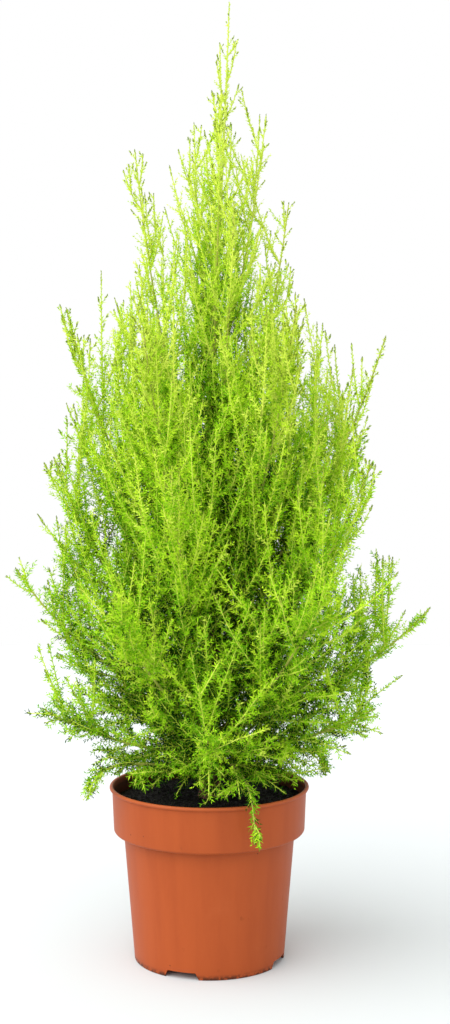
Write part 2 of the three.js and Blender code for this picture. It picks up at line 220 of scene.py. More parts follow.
@dataclass(frozen=True)
class PotPlastic:
    """Matt brick-coloured plastic with moulding streaks, specks of soil and a dusty foot, with a painted
    highlight along the top of the rim and painted shade on the inner wall of the rim.

    Pairs are where an effect starts and where it is full: heights in metres, or levels of a noise.
    Shares are how far an effect goes where it is full. Scales of a noise are across and along, and a
    bump is its depth in metres and its strength. The rough numbers add up to the roughness.
    """

    name: str = "pot_plastic"
    colour: Colour = linear(168, 78, 35)
    streak: Colour = linear(154, 68, 30)
    pale: Colour = linear(180, 95, 52)
    # the colour of the soil specks, smears and dust, also used for painted shade inside the rim
    dirt_and_shade: Colour = linear(52, 30, 20)
    inner_radius: float = 0.0915
    inner_edge: float = 0.0008
    streak_scales: Pair = (60, 6)
    streaks: Pair = (0.35, 0.75)
    streak_share: float = 0.55
    cloud_scale: float = 22.0
    clouds: Pair = (0.55, 0.85)
    cloud_share: float = 0.3
    # painted highlight: the pale colour along the top of the rim, where the light falls
    rim_highlight: Pair = (0.1635, 0.1665)
    rim_highlight_share: float = 0.35
    speck_cells: float = 85.0
    speck_sizes: Pair = (0.075, 0.045)
    speck_chances: Pair = (0.78, 0.8)
    speck_share: float = 0.7
    smear_scales: Pair = (95, 60)
    smears: Pair = (0.66, 0.76)
    smear_level: float = 0.35
    smear_share: float = 0.6
    dusty_foot: Pair = (0.006, 0.001)
    dust_scale: float = 240.0
    dust: Pair = (0.38, 0.55)
    dust_share: float = 0.85
    # painted shade: the dirt colour on the inner wall of the rim, between these heights
    inner_shade_top: Pair = (0.166, 0.16)
    inner_shade_foot: Pair = (0.148, 0.15)
    inner_shade_share: float = 0.75
    grain_scale: float = 1400.0
    grain_detail: float = 2.0
    grain_streaks: float = 0.5
    grain_bump: Pair = (0.0002, 0.25)
    rough: float = 0.4
    rough_clouds: float = 0.14
    rough_smears: float = 0.5
    specular: float = 0.17

    def material(self) -> bpy.types.Material:
        """Builds the material.

        Returns:
            The material.
        """
        graph = Graph(self.name)
        place = graph.place()
        height = graph.axis("Z")
        streaks = graph.mottle(graph.stretched(*self.streak_scales), 1.0)
        cloud = graph.mottle(place, self.cloud_scale)
        smears = graph.mottle(graph.stretched(*self.smear_scales), 1.0)
        smears = smears.between(*self.smears) * self.smear_level
        base = graph.mixed(streaks.between(*self.streaks) * self.streak_share, self.colour, self.streak)
        base = graph.mixed(cloud.between(*self.clouds) * self.cloud_share, base, self.pale)
        # painted highlight along the top of the rim, in the pale colour
        base = graph.mixed(height.between(*self.rim_highlight) * self.rim_highlight_share, base, self.pale)
        soiled = self.specks(graph) * self.speck_share + smears * self.smear_share
        base = graph.mixed(soiled + self.dust_and_inner_shade(graph), base, self.dirt_and_shade)
        grain = graph.mottle(place, self.grain_scale, self.grain_detail)
        rough = self.rough + cloud * self.rough_clouds + smears * self.rough_smears
        bumps = graph.bump(grain + streaks * self.grain_streaks, *self.grain_bump)
        sockets = {"Base Color": base, "Roughness": rough, "Normal": bumps}
        return graph.finish(sockets | {"Specular IOR Level": self.specular})

    def specks(self, graph: Graph) -> Value:
        """Small dark specks, in some of the cells of a pattern.

        Args:
            graph: the nodes of the material.

        Returns:
            1 in the specks and 0 elsewhere.
        """
        cells = {"Vector": graph.place(), "Scale": self.speck_cells}
        distance = graph.node("ShaderNodeTexVoronoi", {}, cells, "Distance")
        chance = graph.node("ShaderNodeTexVoronoi", {}, cells, "Color")
        chance = graph.node("ShaderNodeSeparateColor", {}, {"Color": chance}, "Red")
        return distance.between(*self.speck_sizes) * chance.between(*self.speck_chances)

    def dust_and_inner_shade(self, graph: Graph) -> Value:
        """Dust round the foot, and painted shade on the inner wall of the rim, in the dirt colour.

        Args:
            graph: the nodes of the material.

        Returns:
            How far they hide the plastic.
        """
        height = graph.axis("Z")
        patches = graph.mottle(graph.place(), self.dust_scale).between(*self.dust)
        dust = height.between(*self.dusty_foot) * patches
        inner = self.inner_radius
        inside = graph.away().between(inner**2, (inner - self.inner_edge) ** 2)
        # painted shade on the inner wall of the rim
        inner_shade = inside * height.between(*self.inner_shade_top) * height.between(*self.inner_shade_foot)
        return dust * self.dust_share + inner_shade * self.inner_shade_share


@dataclass(frozen=True)
class Peat:
    """Dark, damp peat with paler fibres."""

    name: str = "peat"
    dark: Colour = linear(17, 13, 10)
    dry: Colour = linear(46, 35, 26)
    crumb_scale: float = 420.0
    crumb_detail: float = 6.0
    crumbs: Pair = (0.5, 0.75)
    crumb_bump: Pair = (0.0015, 0.8)
    patch_scale: float = 60.0
    patches: Pair = (0.3, 0.7)
    rough: float = 0.8
    rough_patches: float = 0.18
    specular: float = 0.3

    def material(self) -> bpy.types.Material:
        """Builds the material.

        Returns:
            The material.
        """
        graph = Graph(self.name)
        place = graph.place()
        crumbs = graph.mottle(place, self.crumb_scale, self.crumb_detail)
        patches = graph.mottle(place, self.patch_scale)
        dried = crumbs.between(*self.crumbs) * patches.between(*self.patches)
        base = graph.mixed(dried, self.dark, self.dry)
        bumps = graph.bump(crumbs, *self.crumb_bump)
        rough = self.rough + patches * self.rough_patches
        sockets = {"Base Color": base, "Roughness": rough, "Normal": bumps}
        return graph.finish(sockets | {"Specular IOR Level": self.specular})


@dataclass(frozen=True)
class Bark:
    """Stringy bark with paler ridges, green on the young wood further out and higher up."""

    name: str
    groove: Colour
    strip: Colour
    ridge: Colour
    young: Colour = linear(176, 182, 78)
    tip: Colour = linear(206, 224, 96)
    strip_scales: Pair = (520, 45)
    strip_detail: float = 6.0
    strips: Pair = (0.38, 0.62)
    strip_bump: Pair = (0.0008, 0.7)
    patch_scale: float = 70.0
    patches: Pair = (0.35, 0.65)
    ridges: Pair = (0.58, 0.78)
    young_away: Pair = (0.0004, 0.0042)
    young_height: Pair = (0.3, 0.55)
    young_share: float = 0.88
    tip_height: Pair = (0.66, 0.78)
    rough: float = 0.72
    rough_strips: float = 0.2

    def material(self) -> bpy.types.Material:
        """Builds the material.

        Returns:
            The material.
        """
        graph = Graph(self.name)
        strips = graph.mottle(graph.stretched(*self.strip_scales), 1.0, self.strip_detail)
        patches = graph.mottle(graph.place(), self.patch_scale)
        base = graph.mixed(strips.between(*self.strips), self.groove, self.strip)
        ridges = strips.between(*self.ridges) * patches.between(*self.patches)
        base = graph.mixed(ridges, base, self.ridge)
        height = graph.axis("Z")
        young = graph.away().between(*self.young_away) + height.between(*self.young_height)
        base = graph.mixed(young.between(0.0, 1.0) * self.young_share, base, self.young)
        base = graph.mixed(height.between(*self.tip_height), base, self.tip)
        bumps = graph.bump(strips, *self.strip_bump)
        rough = self.rough + strips * self.rough_strips
        return graph.finish({"Base Color": base, "Roughness": rough, "Normal": bumps})


OLD_BARK = Bark("old_bark", linear(84, 50, 34), linear(142, 98, 70), linear(158, 138, 116))
YOUNG_BARK = Bark("young_bark", linear(92, 74, 30), linear(146, 124, 56), linear(166, 152, 84))


class Tint(Enum):
    """The plain colours of the needles: that of the dark ends, then the others from light to dark."""

    TIP = linear(130, 150, 46)
    LEMON = linear(209, 232, 84)
    LIME = linear(184, 223, 40)
    FRESH = linear(158, 213, 24)
    LEAF = linear(108, 169, 10)
    SHADE = linear(34, 76, 2)


@dataclass(frozen=True)
class Needle:
    """The plain, faintly waxy skin of one tint of needles or of the green twigs."""

    name: str
    colour: Colour
    rough: float = 0.6
    specular: float = 0.1

    def material(self) -> bpy.types.Material:
        """Builds the material."""
        sockets = {"Base Color": self.colour, "Roughness": self.rough}
        return Graph(self.name).finish(sockets | {"Specular IOR Level": self.specular})


@dataclass(frozen=True)
class StudioWhite:
    """The pale, plain floor."""

    name: str = "studio_floor"
    colour: Colour = linear(204, 208, 209)
    rough: float = 0.9

    def material(self) -> bpy.types.Material:
        """Builds the material."""
        return Graph(self.name).finish({"Base Color": self.colour, "Roughness": self.rough})


def unit(vectors: np.ndarray) -> np.ndarray:
    """Vectors made one long."""
    return vectors / np.maximum(np.linalg.norm(vectors, axis=-1, keepdims=True), 1e-12)


def square_to(along: np.ndarray) -> np.ndarray:
    """A unit vector square to each of the given ones.

    Args:
        along: the given unit vectors.

    Returns:
        The others.
    """
    helper = np.zeros_like(along)
    np.put_along_axis(helper, np.abs(along).argmin(axis=-1)[..., None], 1.0, axis=-1)
    return unit(np.cross(helper, along))


def leaving(along: np.ndarray, turn: np.ndarray, angle: np.ndarray) -> np.ndarray:
    """Directions that leave others at an angle, turned about them.

    Args:
        along: unit directions, one a row.
        turn, angle: radians, one for each.

    Returns:
        The unit directions.
    """
    first = square_to(along)
    second = np.cross(along, first)
    out = first * np.cos(turn)[:, None] + second * np.sin(turn)[:, None]
    return along * np.cos(angle)[:, None] + out * np.sin(angle)[:, None]


def point_on(curves: np.ndarray, t: np.ndarray) -> np.ndarray:
    """Points of quadratic curves, each given by its start, bend and end.

    Args:
        curves: the curves.
        t: how far along each curve its point is, from 0 to 1.

    Returns:
        The points.
    """
    t = t[..., None]
    start, bend, end = (curves[..., corner, :] for corner in range(3))
    return (1 - t) ** 2 * start + 2 * (1 - t) * t * bend + t**2 * end


def heading(curves: np.ndarray, t: np.ndarray) -> np.ndarray:
    """Unit directions of quadratic curves.

    Args:
        curves: the curves.
        t: how far along each curve, from 0 to 1.

    Returns:
        The directions there.
    """
    t = t[..., None]
    first = curves[..., 1, :] - curves[..., 0, :]
    second = curves[..., 2, :] - curves[..., 1, :]
    return unit((1 - t) * first + t * second)


def lengths_of(curves: np.ndarray) -> np.ndarray:
    """Lengths of quadratic curves, from a few chords.

    Args:
        curves: the curves.

    Returns:
        One length a curve.
    """
    t = np.linspace(0, 1, 9)
    points = point_on(curves[:, None], np.broadcast_to(t, (len(curves), len(t))))
    return np.linalg.norm(np.diff(points, axis=1), axis=2).sum(axis=1)


def through(points: np.ndarray) -> np.ndarray:
    """Quadratic curves through three points each."""
    start, middle, end = points[..., 0, :], points[..., 1, :], points[..., 2, :]
    return np.stack([start, 2 * middle - (start + end) / 2, end], axis=-2)


def along_each(counts: np.ndarray) -> tuple[np.ndarray, np.ndarray]:
    """Numbers the things on each of some owners.

    Args:
        counts: how many things each owner has.

    Returns:
        The owner of each thing, and the thing's number there.
    """
    owner = np.repeat(np.arange(len(counts)), counts)
    number = np.arange(counts.sum()) - np.repeat(np.cumsum(counts) - counts, counts)
    return owner, number


def crosswise(along: np.ndarray) -> tuple[np.ndarray, np.ndarray]:
    """Two directions across a line at each of its points, which don't twist along it.

    Args:
        along: the line's unit directions, in order along the last axis but one.

    Returns:
        The first direction and the second, which is square to the first.
    """
    first = square_to(along[..., :1, :])
    across = unit(first - along * (first * along).sum(axis=-1, keepdims=True))
    return across, np.cross(along, across)


def skin_faces(rings: int, sides: int) -> np.ndarray:
    """Triangles of a limb's skin, whose points are rings in order and one more that closes the tip.

    Args:
        rings: how many rings it has.
        sides: how many points a ring has.

    Returns:
        The triangles.
    """
    low = np.arange((rings - 1) * sides).reshape(rings - 1, sides)
    after = np.roll(low, -1, axis=1)
    last = np.arange(sides) + (rings - 1) * sides
    return np.concatenate(
        [
            np.stack([low, after, after + sides], axis=2).reshape(-1, 3),
            np.stack([low, after + sides, low + sides], axis=2).reshape(-1, 3),
            np.stack([last, np.roll(last, -1), np.full(sides, rings * sides)], axis=1),
        ]
    )


def tubes(
    curves: np.ndarray, radii: Pair, rings: int, sides: int, stop: float = 0.97
) -> tuple[np.ndarray, np.ndarray]:
    """Tapering twigs along curves, each closed by a point at its tip.

    Args:
        curves: start, bend and end of each twig.
        radii: at the root and at the tip.
        rings: how many rings of points each has.
        sides: how many sides.
        stop: the share of the length where the last ring is.

    Returns:
        The points and the triangles.
    """
    count = len(curves)
    t = np.broadcast_to(np.linspace(0, stop, rings), (count, rings))
    centre = point_on(curves[:, None], t)
    across, third = crosswise(heading(curves[:, None], t))
    turn = np.arange(sides) * 2 * math.pi / sides
    radius = radii[0] + (radii[1] - radii[0]) * t
    ring = across[:, :, None] * np.cos(turn)[:, None] + third[:, :, None] * np.sin(turn)[:, None]
    wall = centre[:, :, None] + ring * radius[:, :, None, None]
    points = np.concatenate([wall.reshape(count, -1, 3), curves[:, 2:3]], axis=1)
    faces = skin_faces(rings, sides) + np.arange(count)[:, None, None] * points.shape[1]
    return points.reshape(-1, 3), faces.reshape(-1, 3)


def lathe(profile: np.ndarray, sides: int) -> tuple[np.ndarray, list[tuple[int, ...]]]:
    """A surface turned about Z.

    Args:
        profile: (radius, height) points; the first and last are on the axis.
        sides: how many sides.

    Returns:
        The points and the faces.
    """
    turn = np.arange(sides) * 2 * math.pi / sides
    ring = np.stack([np.cos(turn), np.sin(turn), np.zeros(sides)], axis=1)
    walls = [ring * radius + UP * height for radius, height in profile[1:-1]]
    ends = [[0, 0, profile[0][1]], [0, 0, profile[-1][1]]]
    points = np.concatenate([*walls, np.array(ends, float)])
    foot, top = len(points) - 2, len(points) - 1
    faces: list[tuple[int, ...]] = []
    for row in range(len(walls) - 1):
        for i in range(sides):
            a, b = row * sides + i, row * sides + (i + 1) % sides
            faces.append((a, b, b + sides, a + sides))
    last = (len(walls) - 1) * sides
    for i in range(sides):
        j = (i + 1) % sides
        faces.append((foot, j, i))
        faces.append((top, last + i, last + j))
    return points, faces


def arc(centre: Pair, radii: Pair, degrees: Pair, steps: int) -> list[Pair]:
    """Points of an ellipse's arc in a profile.

    Args:
        centre: its radius and height.
        radii: across and up.
        degrees: where it starts and ends.
        steps: how many parts it has.

    Returns:
        The (radius, height) points.
    """
    turns = np.radians(np.linspace(*degrees, steps + 1))
    return [(centre[0] + radii[0] * math.cos(a), centre[1] + radii[1] * math.sin(a)) for a in turns]


def show(
    name: str,
    points: np.ndarray,
    faces: np.ndarray | list,
    material: bpy.types.Material,
    slot: str,
    nodes: list[str],
    smooth: bool = True,
) -> bpy.types.Object:
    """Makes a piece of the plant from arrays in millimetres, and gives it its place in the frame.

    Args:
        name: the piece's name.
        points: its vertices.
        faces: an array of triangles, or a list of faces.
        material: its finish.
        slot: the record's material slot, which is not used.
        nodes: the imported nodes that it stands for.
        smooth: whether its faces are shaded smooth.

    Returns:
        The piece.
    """
    mesh = bpy.data.meshes.new(name)
    if isinstance(faces, list):
        mesh.from_pydata((points * MM).tolist(), [], faces)
    else:
        mesh.vertices.add(len(points))
        mesh.vertices.foreach_set("co", (points * MM).astype(np.float32).ravel())
        mesh.loops.add(faces.size)
        mesh.loops.foreach_set("vertex_index", faces.astype(np.int32).ravel())
        mesh.polygons.add(len(faces))
        mesh.polygons.foreach_set("loop_start", np.arange(0, faces.size, faces.shape[1], dtype=np.int32))
    mesh.polygons.foreach_set("use_smooth", np.full(len(mesh.polygons), smooth))
    mesh.update(calc_edges=True)
    mesh.validate()
    mesh.materials.append(material)
    piece = bpy.data.objects.new(name, mesh)
    bpy.context.scene.collection.objects.link(piece)
    return dress(piece, nodes)


def dress(piece: bpy.types.Object, nodes: list[str]) -> bpy.types.Object:
    """Lets a piece ride on the plant's body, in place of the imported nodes, and reports it.

    Args:
        piece: the piece.
        nodes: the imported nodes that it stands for.

    Returns:
        The same piece.
    """
    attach(piece, BODY)
    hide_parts(*nodes)
    log.info("%s: %d faces", piece.name, len(piece.data.polygons))
    return piece


class SeededNumbers:
    """Numbers in 0 to 1 that are the same for the same seed, as in the part's source."""

    MASK = 0xFFFFFFFF

    def __init__(self, seed: int) -> None:
        """Starts the row of numbers."""
        self.state = seed & self.MASK

    def draw(self) -> float:
        """Draws the next number.

        Returns:
            A number from 0 to below 1.
        """
        self.state = (self.state + 0x6D2B79F5) & self.MASK
        mixed = ((self.state ^ (self.state >> 15)) * (self.state | 1)) & self.MASK
        more = ((mixed ^ (mixed >> 7)) * (mixed | 61)) & self.MASK
        mixed ^= (mixed + more) & self.MASK
        return (mixed ^ (mixed >> 14)) / (self.MASK + 1)


@dataclass
class Pot:
    """The nursery pot: a turned shell with a collar, a beaded lip and drain notches in its foot."""

    height: float = 167.0
    rim_radius: float = 95.0
    foot_radius: float = 71.6
    wall: float = 1.8
    body_top_radius: float = 81.4
    collar_foot_z: float = 120.5
    collar_foot_radius: float = 91.0
    collar_radius: float = 92.4
    collar_step: float = 1.0
    collar_turn_in: float = 5.0
    collar_swell_z: float = 145.0
    collar_swell: float = 0.6
    lip_height: float = 7.0
    lip_flare: Pair = (0.3, 3.0)
    edge: float = 0.6
    foot_roundings: Pair = (0.4, 0.7)
    floor_z: float = 7.0
    floor_thickness: float = 2.4
    centre_foot_radius: float = 24.0
    notch_count: int = 4
    notch_width: float = 36.0
    notch_slope: float = 4.0
    notch_turn: float = math.radians(-111)
    notch_below: float = 2.0
    notch_clearance: float = 0.3
    sharp_from: float = math.radians(38)
    sides: int = 180

    def profile(self) -> np.ndarray:
        """The pot's outline from the axis under its foot, up the outside and down the inside.

        Returns:
            The (radius, height) points.
        """
        collar_z = self.collar_foot_z + self.collar_turn_in
        lip_z = self.height - self.lip_height
        step = self.collar_step
        turn_radii = (self.collar_foot_radius - self.body_top_radius - step, self.collar_turn_in - step)
        ring = self.foot_radius - 2 * self.wall
        inner, outer = self.foot_roundings
        points = [
            (0, 0),
            (self.centre_foot_radius - self.edge, 0),
            (self.centre_foot_radius, self.edge),
            (self.centre_foot_radius, self.floor_z),
            (ring, self.floor_z),
            *arc((self.foot_radius - self.wall, inner), (inner, inner), (180, 270), 3),
            *arc((self.foot_radius - outer, outer), (outer, outer), (270, 355), 4),
        ]
        for share in np.linspace(0.1, 0.94, 6):
            radius = self.foot_radius + (self.body_top_radius - self.foot_radius) * share
            points.append((radius, self.collar_foot_z * share))
        points += arc((self.body_top_radius + step, self.collar_foot_z), (step, step), (180, 90), 5)
        points += arc((self.body_top_radius + step, collar_z), turn_radii, (-88, 0), 9)
        points += [
            (self.collar_radius - self.collar_swell, self.collar_swell_z),
            (self.collar_radius, lip_z),
            (self.collar_radius + self.lip_flare[0], lip_z + self.lip_flare[1]),
        ]
        bead = self.wall
        points += arc((self.rim_radius - bead, self.height - bead), (bead, bead), (-50, 180), 12)
        points += [
            (self.collar_radius - self.wall, lip_z),
            (self.collar_foot_radius - self.wall, collar_z),
            (self.body_top_radius - self.wall, self.collar_foot_z),
            (self.foot_radius - self.wall, self.floor_z + self.floor_thickness),
            (0, self.floor_z + self.floor_thickness),
        ]
        return np.array(points, float)

    def notch_cutter(self, number: int) -> bpy.types.Object:
        """A wedge that cuts one drain notch through the foot's ring.

        Args:
            number: which of the notches.

        Returns:
            The cutter, which isn't part of the pot.
        """
        half, slope = self.notch_width / 2, self.notch_slope
        low, top = -self.notch_below, self.floor_z - self.notch_clearance
        outline = [(-half, low), (half, low), (half - slope, top), (slope - half, top)]
        turn = self.notch_turn + number * 2 * math.pi / self.notch_count
        out = np.array([math.cos(turn), math.sin(turn), 0])
        side = np.array([-math.sin(turn), math.cos(turn), 0])
        near, far = self.foot_radius - 3 * slope, self.foot_radius + slope
        points = [out * depth + side * x + UP * z for depth in (near, far) for x, z in outline]
        corners = [(i, (i + 1) % 4) for i in range(4)]
        faces = [(3, 2, 1, 0), (4, 5, 6, 7), *((after, after + 4, i + 4, i) for i, after in corners)]
        mesh = bpy.data.meshes.new(f"notch_{number}")
        mesh.from_pydata((np.array(points) * MM).tolist(), [], faces)
        cutter = bpy.data.objects.new(mesh.name, mesh)
        bpy.context.scene.collection.objects.link(cutter)
        return cutter

    def build(self) -> bpy.types.Object:
        """Turns the pot and cuts its notches.

        Returns:
            The pot.
        """
        points, faces = lathe(self.profile(), self.sides)
        pot = show("nursery_pot", points, faces, PotPlastic().material(), "pot_plastic", ["pot"])
        cutters = [self.notch_cutter(number) for number in range(self.notch_count)]
        for cutter in cutters:
            cut = pot.modifiers.new(cutter.name, "BOOLEAN")
            cut.operation = "DIFFERENCE"
            cut.object = cutter
        whole = pot.evaluated_get(bpy.context.evaluated_depsgraph_get())
        mesh = bpy.data.meshes.new_from_object(whole)
        pot.modifiers.clear()
        pot.data = mesh
        for cutter in cutters:
            bpy.data.objects.remove(cutter)
        mesh.polygons.foreach_set("use_smooth", np.full(len(mesh.polygons), True))
        mesh.set_sharp_from_angle(angle=self.sharp_from)
        return pot


@dataclass
class Soil:
    """The peat in the pot: a crumbly surface, mounded a little, with loose crumbs."""

    pot: Pot
    below_rim: float = 11.0
    mound: float = 3.0
    gap: float = 0.3
    sides: int = 150
    rings: int = 56
    relief: float = 1.5
    sunk: float = 0.4
    lumps: float = 0.09
    grains: float = 0.33
    grain_share: float = 0.7
    crumbs: int = 2000
    crumb_sizes: Pair = (0.6, 2.6)
    crumb_bias: float = 2.2
    crumb_spread: Pair = (0.03, 1.0)
    crumb_unevenness: Pair = (0.55, 1.25)
    crumb_flatness: float = 0.7
    crumb_raised: float = 0.2
    crumb_edge: float = 4.0
    crumb_seed: int = 11

    @property
    def top(self) -> float:
        """The height of the soil at the trunk."""
        return self.pot.height - self.below_rim

    def surface(self, radius: np.ndarray, turn: np.ndarray) -> np.ndarray:
        """Heights of the soil's surface, with its crumbly relief.

        Args:
            radius, turn: where the points are, from above.

        Returns:
            One height a point.
        """
        edge = self.pot.collar_radius - self.pot.wall - 3 * self.gap
        level = self.top - self.mound * (radius / edge) ** 2
        x, y = radius * np.cos(turn), radius * np.sin(turn)
        rough = [self.roughness(*place) for place in zip(x.ravel(), y.ravel())]
        return level + self.relief * np.array(rough).reshape(radius.shape) - self.sunk

    def roughness(self, x: float, y: float) -> float:
        """The relief of lumps and of finer grains at one place.

        Args:
            x, y: the place, from above.

        Returns:
            About -1 to 1.
        """
        lumps = noise.noise(Vector((x * self.lumps, y * self.lumps, 3)))
        grains = noise.noise(Vector((x * self.grains, y * self.grains, 7)))
        return lumps + self.grain_share * grains

    def build(self) -> None:
        """Makes the soil and its crumbs."""
        pot, clear = self.pot, self.pot.wall + self.gap
        edge = pot.collar_radius - clear - 2 * self.gap
        floor = pot.floor_z + pot.floor_thickness + self.gap
        radius, turn = np.meshgrid(
            np.linspace(edge, edge / self.rings, self.rings),
            np.arange(self.sides) * 2 * math.pi / self.sides,
            indexing="ij",
        )
        profile = [
            (0, floor),
            (pot.foot_radius - clear, floor),
            (pot.body_top_radius - clear - self.gap, pot.collar_foot_z),
            (pot.collar_foot_radius - clear - self.gap, pot.collar_foot_z + pot.collar_turn_in),
            *((ring[0], self.top - self.mound) for ring in radius),
            (0, self.top),
        ]
        points, faces = lathe(np.array(profile, float), self.sides)
        upper = slice(3 * self.sides, (3 + self.rings) * self.sides)
        points[upper, 2] = self.surface(radius, turn).ravel()
        grains, grain_faces = self.loose_crumbs()
        faces += (grain_faces + len(points)).tolist()
        points = np.concatenate([points, grains])
        show("peat", points, faces, Peat().material(), "soil", ["soil"], smooth=False)

    def loose_crumbs(self) -> tuple[np.ndarray, np.ndarray]:
        """Strews crumbs on the soil, each an uneven lump with eight faces.

        Returns:
            The points and the triangles.
        """
        numbers = np.random.default_rng(self.crumb_seed)
        edge = self.pot.collar_radius - self.pot.wall - self.crumb_edge
        radius = edge * np.sqrt(numbers.uniform(*self.crumb_spread, self.crumbs))
        turn = numbers.uniform(0, 2 * math.pi, self.crumbs)
        size = numbers.uniform(0, 1, self.crumbs) ** self.crumb_bias
        size = self.crumb_sizes[0] + (self.crumb_sizes[1] - self.crumb_sizes[0]) * size
        corners = np.array([[1, 0, 0], [0, 1, 0], [-1, 0, 0], [0, -1, 0], [0, 0, 1], [0, 0, -1]], float)
        above = [[i, (i + 1) % 4, 4] for i in range(4)]
        below = [[(i + 1) % 4, i, 5] for i in range(4)]
        faces = np.array(above + below)
        shapes = corners * numbers.uniform(*self.crumb_unevenness, (self.crumbs, len(corners), 1))
        spin = numbers.uniform(0, 2 * math.pi, self.crumbs)
        x, y, z = (shapes[..., axis] for axis in range(3))
        cosine, sine = np.cos(spin)[:, None], np.sin(spin)[:, None]
        spun = np.stack([x * cosine - y * sine, x * sine + y * cosine, z * self.crumb_flatness], axis=2)
        height = self.surface(radius, turn) + self.crumb_raised * size
        centre = np.stack([radius * np.cos(turn), radius * np.sin(turn), height], axis=1)
        points = centre[:, None] + spun * size[:, None, None]
        faces = faces + np.arange(self.crumbs)[:, None, None] * len(corners)
        return points.reshape(-1, 3), faces.reshape(-1, 3)


@dataclass
class Trunk:
    """The trunk's line and thickness: it leans to the right and sways a little on its way up."""

    foot_z: float = 156.3
    tip_z: float = 745.0
    foot_radius: float = 8.0
    flare: float = 3.5
    flare_height: float = 22.0
    tip_radius: float = 1.5
    taper: float = 0.9
    lean: float = 12.0
    lean_bends: float = 1.5
    sway: float = 5.0
    sway_aside: float = 0.6
    sunk: float = 4.0
    sides: int = 30
    rings: int = 320

    @property
    def length(self) -> float:
        """From the soil to the tip."""
        return self.tip_z - self.foot_z

    def share(self, z: np.ndarray | float) -> np.ndarray | float:
        """How far up the trunk a height is, from 0 to 1."""
        return (z - self.foot_z) / self.length

    def point(self, t: np.ndarray | float) -> np.ndarray:
        """A point of the trunk's line.

        Args:
            t: how far up the trunk it is, from 0 to 1, or below 0 in the soil.

        Returns:
            The point, or one for each t.
        """
        sway = self.sway * np.sin(2 * math.pi * t)
        lean = self.lean * np.maximum(t, 0) ** self.lean_bends
        return np.stack([lean + self.sway_aside * sway, sway, self.foot_z + self.length * t], axis=-1)

    def radius(self, t: np.ndarray | float) -> np.ndarray | float:
        """The trunk's radius at a height.

        Args:
            t: how far up the trunk.

        Returns:
            The radius, or one for each t.
        """
        flare = self.flare * np.maximum(0, 1 - t * self.length / self.flare_height) ** 2
        thin = self.foot_radius + (self.tip_radius - self.foot_radius) * np.maximum(t, 0) ** self.taper
        return thin + flare

    def distance(self, points: np.ndarray) -> np.ndarray:
        """How far points are from the bark, below 0 inside it."""
        t = np.clip(self.share(points[..., 2]), 0, 1)
        return np.linalg.norm(self.point(t) - points, axis=-1) - self.radius(t)


@dataclass(frozen=True)
class Tier:
    """A ring of boughs: the source's numbers, and how the leading twigs on those boughs grow.

    bare is above 0 where the boughs have a bare limb of their own, spray the length of a spray, plume the
    full length of a leading twig, lift how strongly it turns up, room how far apart the twigs are,
    against their usual spacing, and space how far from its bough a twig may be where that bough leaves
    the crown's reach.
    """

    name: str
    count: int
    from_z: float
    tip_z: float
    reach: float
    turn: float
    bare: float
    spray: float
    plume: float
    lift: float
    room: float
    space: float


@dataclass(frozen=True)
class Outstanding:
    """A bough that stands out of its tier's ring, and the space that its twigs take there."""

    tip_z: float
    reach: float
    space: float


@dataclass(frozen=True)
class SideTwigs:
    """How side twigs grow on a limb: their room, their full size, and how much wider they spread."""

    room: float
    size: float
    spread: float = 0.0


@dataclass
class Limb:
    """A bough, or a stretch of the trunk: its line from foot to tip, and how side twigs grow on it."""

    name: str
    tier: Tier
    curve: np.ndarray
    sides: SideTwigs
    space: float

    @property
    def length(self) -> float:
        """From foot to tip."""
        return float(lengths_of(self.curve[None])[0])


@dataclass(frozen=True)
class Relief:
    """One layer of the bark's relief.

    across and along say how fine it is round a limb and along it, depth how deep it is against the limb's
    radius, and offset how far apart two limbs are in the noise.
    """

    across: float
    along: float
    depth: float
    offset: float

    def at(self, x: float, y: float, along: float, number: int) -> float:
        """The relief's noise at a place round and along one of the limbs."""
        place = (x * self.across, y * self.across, along * self.along + self.offset * number)
        return noise.noise(Vector(place))


